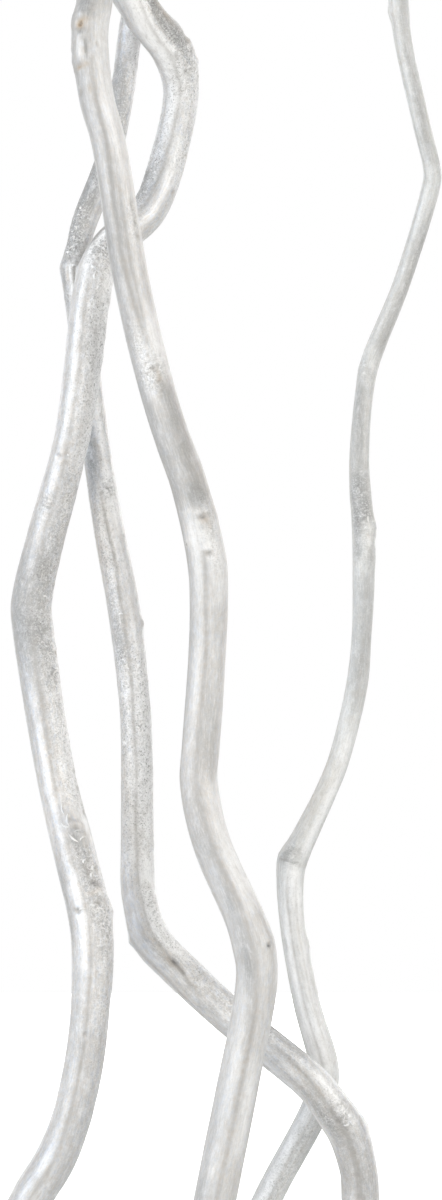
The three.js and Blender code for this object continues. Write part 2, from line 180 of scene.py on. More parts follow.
STEMS["stem_left"] = dict(
    coat="silver_coat", seed=11, grain=1, flakes=44,
    bends=[
        (-12, 7, FOOT_Z, 11.2), (-14.2, 7, 130, 11), (-16, 7, 230, 10.8), (-16.6, 7, 262, 10.8),
        (-17.5, 5, 305, 10.8), (-21, 8, 327, 10.8), (-31, 12, 345, 10.6), (-45, 13, 362, 10.4),
        (-55, 9, 382, 10.4), (-56.5, 4, 400, 10.4), (-47.5, 2, 420, 10.4), (-41.5, 0, 430, 10.4),
        (-37.5, -3, 440, 10), (-35, -6, 450, 10), (-33, -9, 463, 10), (-32, -11, 485, 10.8),
        (-33.5, -10, 495, 10.8), (-36, -8, 505, 10.8), (-41, -1, 525, 10), (-47, 6, 562, 10.4),
        (-47.5, 6, 569, 10.4), (-44, 3, 585, 9.6), (-37.5, -3, 609, 8.8), (-35.5, -4, 620, 9.2),
        (-32, -1, 648, 9.6), (-30.5, 1, 654, 9.2), (-27.5, 3, 659, 9), (-22.5, 4, 663, 9),
        (-18.5, 6, 667, 9), (-15, 9, 675, 9), (-10, 11, 698, 8.8), (-12.5, 7, 708, 10), (-19, 2, 716, 9.8),
        (-21.5, 1, 720, 9.6), (-32, 2, 735, 9.2), (-42, 4, 750, 9.2), (-49, 9, 770, 9), (-50, 17, 792, 8.8),
        (-44, 24, 815, 8.4), (-35, 26, 838, 8.2), (-30, 21.5, 862, 8), (-33, 16, 887, 7.6),
        (-44, 14, 910, 7.2), (-56, 18.5, 932, 6.8), (-63, 29, 957, 6.4), (-61, 40, 985, 6),
        (-53, 44.5, 1010, 5.6), (-48, 41, 1037, 5), (-52, 34.5, 1063, 4.4), (-62, 34, 1088, 3.6),
        (-68, 44, 1115, 3), (-67, 54, 1140, 2.2),
    ],
    knobs=[
        (711, 20, 0.2, 1.2), (704, 0, 0.5, 1.2), (553, -60, 0.4, 4), (511, -70, 0.5, 4), (492, 0, 0.8, 3),
    ],
    grooves=[
        [(8, -110, 0.5, 1.6), (425, -100, 0.4, 1.1), (445, -102, 0.4, 1.1), (480, -97, 0.45, 1.1),
         (495, -98, 0.3, 1.1), (510, -104, 0.3, 1.1), (525, -100, 0.5, 1.1), (545, -97, 0.5, 1.1),
         (555, -98, 0.35, 1.1), (570, -95, 0.12, 1.4), (585, -98, 0.15, 1.2), (600, -98, 0.4, 1.1),
         (645, -102, 0.35, 1.1), (657, -100, 0.1, 1.1), (672, -96, 0.35, 1.1), (705, -94, 0.4, 1),
         (715, -78, 0.4, 1), (760, -66, 0.4, 1), (1140, -20, 0.12, 0.5)],
        [(590, -64, 0, 1.6), (610, -62, 0.2, 1.6), (648, -60, 0.2, 1.6), (656, -60, 0, 1.6)],
        [(8, 20, 0.5, 1.5), (560, 5, 0.35, 1.5), (1140, 60, 0.1, 0.6)],
        [(8, 95, 0.5, 1.3), (560, 110, 0.45, 1.3), (1140, 160, 0.12, 0.5)],
        [(8, 190, 0.4, 1.5), (560, 200, 0.3, 1.3), (1140, 250, 0.1, 0.5)],
    ],
    grains=[
        [(425, -45, 0, 5), (448, -45, 0.08, 5), (475, -45, 0.4, 5), (500, -55, 0.8, 5),
         (520, -50, 0.6, 4.5), (556, -50, 0.9, 4.5), (575, -50, 0.5, 4.5), (610, -50, 0.7, 4.5),
         (652, -60, 0.9, 5), (662, -110, 0.3, 4), (668, -135, 1, 3), (680, -138, 1, 3),
         (690, -130, 0.6, 3.5), (702, -80, 0.9, 5), (709, -50, 0.8, 4), (713, -46, 0.7, 3),
         (735, -50, 0.7, 3)],
        [(672, -30, 0, 3), (680, -35, 0.5, 3), (700, -35, 0.7, 3), (712, -30, 0, 3)],
        [(506, -52, 0, 3), (508, -52, -1, 3.2), (515, -52, -1, 3.2), (517, -52, 0, 3)],
        track(90, 9, (400, 0.6), (740, 0.6)),
    ],
    # Lighter and darker lines: partly the coat's uneven tone, partly painted highlights and painted shade
    tones_and_painted_light=[
        patch(498, 500, 507, 510, -134, -0.4, 1.8), patch(491.5, 492, 493.5, 494, -120, -0.9, 1.6),
        patch(708, 711, 718, 721, -130, -0.7, 2),
        [(702, -112, 0, 1.4), (705, -108, 0.6, 1.6), (712, -84, 0.7, 1.8), (717, -72, 0.7, 1.8),
         (722, -72, 0, 1.6)],
        patch(699, 701, 706.5, 708.5, -42, 0.7, 2), patch(624, 628, 638, 642, -50, 0.6, 1.8),
        patch(535, 538, 545, 548, -60, 0.5, 2), patch(580, 584, 590, 593, -116, 0.35, 1.8),
        patch(672, 676, 684, 688, -50, 0.5, 2.2), patch(676, 679, 686, 690, -165, 0.8, 2),
        patch(482, 485, 491, 494, -106, 0.5, 1.4), patch(506, 508, 514, 518, -92, -0.5, 2.2),
        [(596, -66, 0, 1.4), (601, -74, -0.45, 1.5), (606, -92, -0.45, 1.5), (611, -108, -0.45, 1.5),
         (616, -112, 0, 1.4)],
        [(683, -64, 0, 1.5), (688, -70, -0.4, 1.5), (695, -90, -0.4, 1.5), (699, -92, 0, 1.5)],
        patch(488, 492, 500, 504, -114, 0.5, 1.8), patch(496, 499, 503, 506, -76, -0.2, 1.6),
        patch(656, 657, 660, 661, -147, -1.3, 0.8), patch(425, 430, 452, 460, -116, 0.4, 1.8),
        [(698, -50, 0, 1), (704, -50, -0.6, 1.2), (716, -46, -0.9, 1.4), (728, -50, -0.9, 1.4),
         (740, -60, 0, 1.4)],
        patch(688, 693, 704, 707, -28, 0.6, 2.2),
        [(494.8, -48, 0, 0.8), (495.4, -48, 1.8, 0.9), (496.8, -52, 1.8, 0.9), (497.3, -52, 0, 0.8)],
        [(500, -32, 0, 2.6), (508, -34, 0.9, 3), (522, -34, 0.9, 3), (540, -28, 0.6, 2.4),
         (562, -28, 0.6, 2.4), (585, -28, 0.4, 2.2), (600, -28, 0, 2.2)],
        [(425, -110, -0.4, 2.6), (440, -112, -0.45, 2.6), (470, -112, -0.45, 2.6), (480, -112, 0, 2.4)],
        [(664, -146, 0, 3), (668, -146, -1.2, 3), (674, -146, -1.2, 3), (680, -136, -0.5, 2.4),
         (694, -128, 0, 2.6)],
        [(664, -76, 0, 1.4), (672, -76, 0.4, 1.4), (695, -78, 0.4, 1.4), (706, -90, 0, 1.4)],
        [(674, -112, 0, 1.8), (690, -112, 0.7, 1.8), (698, -104, 1.2, 2.4), (706, -92, 1.6, 2.8),
         (728, -92, 1.6, 3), (742, -96, 0, 2.8)],
        [(698, -30, 0, 3), (704, -30, -0.9, 3), (712, -30, -1.2, 3), (726, -35, -1.3, 3), (742, -50, 0, 3)],
        [(648, -125, 0, 1.6), (653, -128, 0.8, 1.6), (662, -132, 1, 1.6), (668, -132, 0.3, 1.6)],
        [(608, -122, 0, 1), (618, -120, 0.4, 1), (648, -120, 0.5, 1), (655, -118, 0, 1)],
        [(598, -36, 0, 3), (608, -34, 0.8, 3), (624, -36, 1.2, 3.2), (648, -38, 1.3, 3.4),
         (655, -45, 0, 3.2)],
        [(530, -90, 0, 8), (540, -100, -0.35, 8), (553, -96, -0.75, 8), (562, -95, -1.1, 8),
         (578, -90, -1.05, 8), (590, -80, -0.5, 8), (600, -70, 0, 7)],
        [(478, -75, 0, 3), (486, -75, -0.4, 3), (502, -78, -0.5, 3), (512, -84, 0, 3)],
        track(-55, 4, (418, -0.4), (462, -0.3), (472, 0)),
        [(482, -160, 0, 1.4), (488, -160, -0.6, 1.4), (503, -160, -0.7, 1.5), (508, -160, 0, 1.4)],
        [(502, -62, 0, 2.2), (505, -62, -0.8, 2.6), (510, -60, -0.75, 2.6), (514, -60, 0, 2.4)],
    ],
    pits=[
        (708.5, 8, 0.5, 1.2, 1.4), (707.6, -75, 0.45, 0.9, 0.7), (703.5, -66, 0.35, 0.8, 0.8),
        (672.5, -34, 0.4, 0.6, 0.7), (696, -70, 0.3, 0.5, 0.6), (645, -20, 0.4, 1.2, 0.7),
        (637.5, -22, 0.5, 1.6, 0.7), (606, -120, 0.35, 0.6, 0.9), (575, -125, 0.35, 0.6, 0.8),
        (556.5, -62, 0.4, 0.5, 1.1), (553, -70, 0.35, 0.5, 0.9), (550, -55, 0.4, 0.5, 1.1),
        (526, -24, 0.35, 0.8, 0.6), (521.5, -24, 0.4, 0.8, 0.6), (515, -26, 0.5, 0.9, 0.6),
        (513.8, -80, 0.5, 0.8, 0.7), (511.2, -71, 0.55, 0.6, 1), (502, -66, 0.35, 0.8, 0.7),
        (493.6, -56, 0.6, 0.8, 0.6), (498.3, -58, 0.8, 0.45, 1.1), (497.7, -44, 0.6, 0.5, 0.8),
        (501.5, -40, 0.5, 0.6, 0.5), (500.6, -68, 0.5, 0.5, 0.6), (503.4, -58, 0.5, 0.5, 0.6),
        (502.2, -74, 0.45, 0.6, 0.5), (492.3, -120, 0.45, 0.7, 0.7), (474, -14, 0.35, 0.7, 0.7),
        (462.5, -100, 0.4, 0.7, 0.6),
    ],
    ridges=[
        (708.8, -75, 0.3, 0.8, 1.2), (512.2, -78, 0.35, 0.6, 1.6), (496.2, -58, 0.5, 1.1, 0.9),
        (493.6, -120, 0.25, 0.5, 1.3), (557.6, -60, 0.2, 0.4, 1.5), (551.3, -58, 0.22, 0.4, 1.6),
        (500, -80, 0.3, 0.8, 1.2),
    ],
    collars=[(708.6, 5, 0.8, 3.5, 3), (656.5, -120, 0.35, 3, 1.5), (657.2, -95, 0.3, 3, 1)],
    wrinkles=[
        (552, -55, 0.5, 8, 2.6), (655, -90, 1, 4.5, 4), (594, -110, 0.5, 4, 3.5), (497, -70, 0.3, 8, 4),
        (486, -50, 0.6, 5, 3),
    ],
    scars=[
        (496.6, -50, 0.35, 0.5, 1.4), (496, -76, 0.25, 0.5, 1.2), (708.6, -2, 0.3, 0.5, 1.5),
        (716, -14, 0.3, 4, 1.2),
    ],
    curls=[
        (706, -66, 2.2, 20, 120, 0.35), (704, -58, 2, 100, 150, 0.3), (702.5, -72, 1.6, -40, -120, 0.3),
        (664, -100, 1.8, 60, 120, 0.3), (658, -104, 2, 20, 140, 0.35), (656, -86, 1.8, 80, -120, 0.35),
        (654, -96, 2.2, 150, 150, 0.35), (653, -76, 2, 30, 120, 0.35), (651.5, -90, 1.6, -60, 130, 0.3),
        (650, -70, 1.8, 100, -140, 0.35), (649, -84, 2, 10, 150, 0.3), (647, -74, 1.6, 60, 120, 0.3),
        (555.5, -58, 2.4, 120, 120, 0.3), (552.5, -52, 2.2, 100, -130, 0.35),
        (550, -48, 2.6, 80, 150, 0.35), (547.5, -56, 2, 130, 100, 0.25), (545, -50, 1.8, 90, 120, 0.25),
        (507.8, -78, 3.2, -35, 40, 0.35), (511.6, -90, 3.6, 10, 60, 0.35), (510.2, -80, 1.8, 90, 40, 0.3),
        (515, -96, 3, 10, 60, 0.3), (511.5, -92, 2.4, -40, 70, 0.35), (510.4, -78, 2.6, 90, -60, 0.35),
        (508, -72, 2.4, 75, 80, 0.3), (499.6, -64, 1.8, 60, 150, 0.35), (502, -66, 1.6, 110, -150, 0.35),
        (501, -52, 1.6, 20, 140, 0.3), (503, -76, 1.4, 60, 150, 0.3), (498.9, -50, 1.6, 95, 60, 0.3),
        (492.6, -118, 1.8, 90, 60, 0.25),
    ],
)

STEMS["stem_front"] = dict(
    coat="pearl_coat", seed=23, grain=0.35, flakes=8,
    bends=[
        (4, -12, FOOT_Z, 11.2), (3, -14.1, 130, 11.2), (2.1, -15.8, 230, 11), (1.8, -16.4, 262, 11),
        (3, -16, 305, 10.8), (-1, -19, 327, 10.8), (-6.5, -22, 346, 10.8), (-9.5, -22, 366, 10.6),
        (-8.5, -17, 388, 10.4), (-1.5, -12, 421, 10.4), (3.5, -15, 446, 10.4), (9, -22, 477, 10.4),
        (8, -22, 485, 10.8), (6, -21, 491, 10.2), (-2.5, -13, 510, 9.6), (-5.5, -8, 525, 9.6),
        (-5, -7, 533, 9.6), (-3.5, -5, 555, 9.4), (-3, -7, 570, 9.6), (-3.5, -9, 580, 9.8),
        (-8, -14, 599, 9.2), (-12, -17, 610, 8.8), (-16.5, -18, 625, 8.8), (-22, -18, 648, 8.8),
        (-28, -18, 684, 8.6), (-31, -17, 695, 8.8), (-32.5, -13, 711, 9), (-31.5, -11, 719, 9),
        (-29.5, -10, 738, 8.8), (-23, -8, 760, 8.8), (-14, -8.5, 782, 8.6), (-9, -13, 800, 8.4),
        (-8.5, -22, 820, 8.2), (-13, -33, 845, 8), (-21, -36.5, 870, 7.6), (-26, -33, 895, 7.2),
        (-25, -28, 920, 7), (-17, -25, 948, 6.6), (-7, -29, 975, 6.2), (-2, -40, 1002, 5.8),
        (-5, -51, 1030, 5.2), (-12, -54, 1058, 4.8), (-14, -47.5, 1085, 4.2), (-8, -43.5, 1115, 3.6),
        (0, -47, 1143, 2.8), (3, -55, 1170, 2),
    ],
    knobs=[
        (713.5, -150, 0.7, 2.5), (703.5, -150, 0.7, 2.5), (707.5, 180, 0.4, 3), (591, -55, 0.6, 3.5),
        (580, -60, 0.5, 3), (484, -40, 0.4, 2.5),
    ],
    grooves=[
        [(8, -60, 0.5, 1.4), (420, -85, 0.5, 1.3), (470, -87, 0.5, 1.3), (485, -93, 0.3, 1.3),
         (500, -97, 0.5, 1.3), (520, -100, 0.3, 1.3), (530, -98, 0.3, 1.3), (545, -95, 0.5, 1.1),
         (577, -97, 0.6, 1), (582, -93, 0.3, 1), (585, -92, 0, 1), (630, -84, 0, 1), (637, -88, 0.5, 1),
         (646, -98, 0.8, 0.9), (658, -106, 0.85, 0.9), (671, -107, 0.85, 0.9), (682, -98, 0.8, 0.9),
         (695, -92, 0.6, 0.9), (700, -92, 0.3, 1), (705, -92, 0.12, 1.2), (740, -75, 0.3, 1.2),
         (1170, -10, 0.1, 0.4)],
        [(594, -68, 0, 2.2), (598, -68, 0.25, 2.2), (615, -66, 0.3, 2.2), (632, -64, 0, 2.2)],
        [(636, -76, 0, 0.6), (641, -78, 0.4, 0.6), (672, -82, 0.4, 0.6), (682, -80, 0, 0.6)],
        [(8, 15, 0.5, 1.4), (560, 5, 0.35, 1.4), (1170, 80, 0.1, 0.5)],
        [(8, 100, 0.4, 1.4), (560, 95, 0.45, 1.3), (1170, 170, 0.1, 0.5)],
        [(8, 185, 0.5, 1.4), (560, 195, 0.35, 1.4), (1170, 250, 0.1, 0.5)],
    ],
    grains=[
        [(620, -108, 0, 2.5), (627, -100, 0.8, 3), (634, -108, 0.6, 2.5), (642, -110, 0, 2.5)],
        [(575, -60, 0, 2), (584, -60, 0.4, 2.4), (594, -60, 0.4, 2.4), (600, -60, 0, 2)],
        track(-45, 2, (655, 0), (664, 0.5), (670, 0)),
    ],
    # Lighter and darker lines: partly the coat's uneven tone, partly painted highlights and painted shade
    tones_and_painted_light=[
        patch(612, 615, 623, 627, -66, -0.4, 1.6),
        [(456, -84, 0, 1.5), (463, -88, -0.5, 1.6), (472, -104, -0.5, 1.6), (480, -112, -0.3, 1.6),
         (484, -112, 0, 1.6)],
        patch(622, 626, 638, 644, -44, 0.7, 2), patch(488, 492, 502, 508, -86, 0.5, 1.6),
        patch(512, 520, 536, 542, -96, -0.35, 1.4), patch(590, 592, 598, 601, -78, -0.5, 2.6),
        patch(412, 418, 424, 428, -110, -0.5, 5), patch(712.6, 714, 717, 719, -100, -0.7, 3),
        patch(711.2, 711.6, 712.6, 713, -132, 0.9, 0.4),
        [(709.3, -118, 0, 0.8), (710, -118, -1, 0.9), (711, -116, -1, 0.9), (711.6, -116, 0, 0.8)],
        [(636, -88, 0, 0.7), (646, -98, -0.4, 0.7), (658, -106, -0.5, 0.7), (671, -107, -0.6, 0.7),
         (682, -98, -0.4, 0.7), (694, -92, -0.3, 0.7), (702, -92, 0, 0.7)],
        patch(676, 684, 694, 704, -76, 0.3, 1.2), patch(648, 654, 668, 676, -86, -0.35, 1.2),
        patch(664, 672, 682, 692, -130, 0.4, 1.1), patch(644, 650, 664, 670, -152, -0.5, 1.6),
        track(-140, 2.4, (415, -0.4), (440, -0.35), (455, 0)),
        [(500, -150, 0, 2), (512, -150, -0.35, 2.2), (524, -150, -0.35, 2.2), (532, -150, -0.1, 2.2),
         (552, -150, -0.1, 2.2), (562, -150, -0.3, 2.2), (575, -150, -0.3, 2.2), (590, -146, -0.5, 2.6),
         (597, -142, -0.9, 3.2), (615, -142, -0.9, 3.2), (630, -148, -0.5, 2.4), (680, -150, -0.45, 2.2),
         (720, -150, -0.3, 2)],
        [(655, -42, 0, 2.6), (680, -42, 0.4, 2.6), (715, -42, 0.6, 3), (730, -42, 0, 3)],
        track(-52, 2.2, (568, 0), (574, 0.4), (586, 0.5), (593, 0)),
        patch(490, 498, 512, 528, -45, 0.7, 2.6), patch(430, 436, 450, 462, -58, 0.5, 2),
        patch(593.5, 596, 614, 632, -62, -0.8, 2.6),
        [(530, -116, 0, 2), (538, -116, -0.15, 2), (562, -120, -0.1, 2.2), (572, -118, 0.25, 2),
         (580, -122, 0.6, 1.5), (588, -122, 0.65, 1.5), (594, -124, 0.3, 1.6), (598, -124, 0, 1.8)],
        [(578, -75, 0, 2), (584, -78, 0.25, 2), (591, -85, 0.35, 2), (595, -80, 0, 2)],
        [(702.5, -124, 0, 0.7), (705, -126, 0.9, 0.8), (709, -128, 0.8, 0.7), (711, -128, 0, 0.7)],
        [(702.5, -110, 0, 0.6), (704.5, -111, 0.6, 0.6), (707, -111, 0.6, 0.5), (708.5, -111, 0, 0.6)],
        patch(703, 704, 708, 709, -103, -1, 0.3), track(-126, 1.2, (713, 0), (714, 0.9), (715, 0)),
        patch(716, 719, 724, 730, -95, -0.5, 5),
        [(615, -103, 0, 1.8), (627, -103, 0.6, 1.8), (638, -104, 0, 1.6)],
        track(-114, 1.3, (440, 0), (455, 0.4), (466, 0)),
        track(-120, 1.6, (535, 0), (545, 0.3), (560, 0.2), (570, 0)),
        patch(472, 482, 508, 532, -112, -0.9, 2.4),
        track(-66, 2.4, (522, 0), (532, -0.6), (545, -0.45), (556, 0)),
        [(638, -108, 0, 2), (650, -112, -0.3, 2), (690, -106, -0.3, 2.2), (712, -95, -0.45, 5)],
    ],
    pits=[
        (711.9, -121, 0.6, 0.6, 0.7), (711, -108, 0.35, 0.9, 1.2), (702, -134, 0.4, 0.6, 1.1),
        (706, -104, 0.4, 2.6, 0.35), (707.5, -142, 0.12, 3, 0.4), (707, -66, 0.35, 0.9, 0.5),
        (696, -145, 0.35, 0.8, 0.8), (667.5, -42, 0.5, 1.3, 0.5), (663.5, -40, 0.55, 1.4, 0.5),
        (660, -42, 0.4, 0.8, 0.5), (627.3, -85, 0.6, 0.7, 0.8), (624, -79, 0.45, 0.6, 0.5),
        (621.6, -76, 0.4, 0.5, 0.5), (630.6, -90, 0.35, 0.5, 0.4), (638.5, -140, 0.35, 0.6, 0.5),
        (634, -82, 0.3, 0.9, 0.4), (591.3, -72, 0.7, 0.8, 1), (589.8, -66, 0.45, 0.8, 0.7),
        (582.6, -78, 0.6, 0.6, 1.1), (483.5, -48, 0.8, 0.6, 0.8), (640, -125, 0.25, 0.6, 0.6),
    ],
    ridges=[
        (706.5, -124, 0.7, 3, 0.9), (714.6, -112, 0.35, 0.8, 1.4), (703.2, -122, 0.25, 0.6, 1.3),
        (592.7, -74, 0.35, 0.6, 1.4), (590.4, -62, 0.3, 1.6, 0.5), (583.8, -80, 0.3, 0.5, 1.5),
        (586, -141, 0.5, 1.5, 0.9), (628.3, -78, 0.25, 0.5, 1.1),
    ],
    collars=[(594, -110, 0.25, 4, 4)],
    wrinkles=[(588, -75, 0.15, 5, 3.5), (627, -85, 0.4, 4, 3)],
    scars=[
        (711.9, -121, 1, 0.9, 1), (712.8, -104, 0.4, 1, 1), (701.7, -130, 0.65, 0.6, 1.2),
        (702, -112, 0.4, 0.6, 1), (696.5, -104, 0.3, 1.5, 0.7), (590.5, -70, 0.4, 0.7, 0.8),
        (589, -60, 0.25, 0.8, 0.5), (625.6, -74, 0.3, 2.2, 0.6), (653, -100, 0.16, 4, 0.5),
    ],
    curls=[(585, -140, 1.4, 20, 100, 0.3), (628, -80, 1.2, 60, 120, 0.2), (583, -72, 1.4, 60, -120, 0.25)],
)

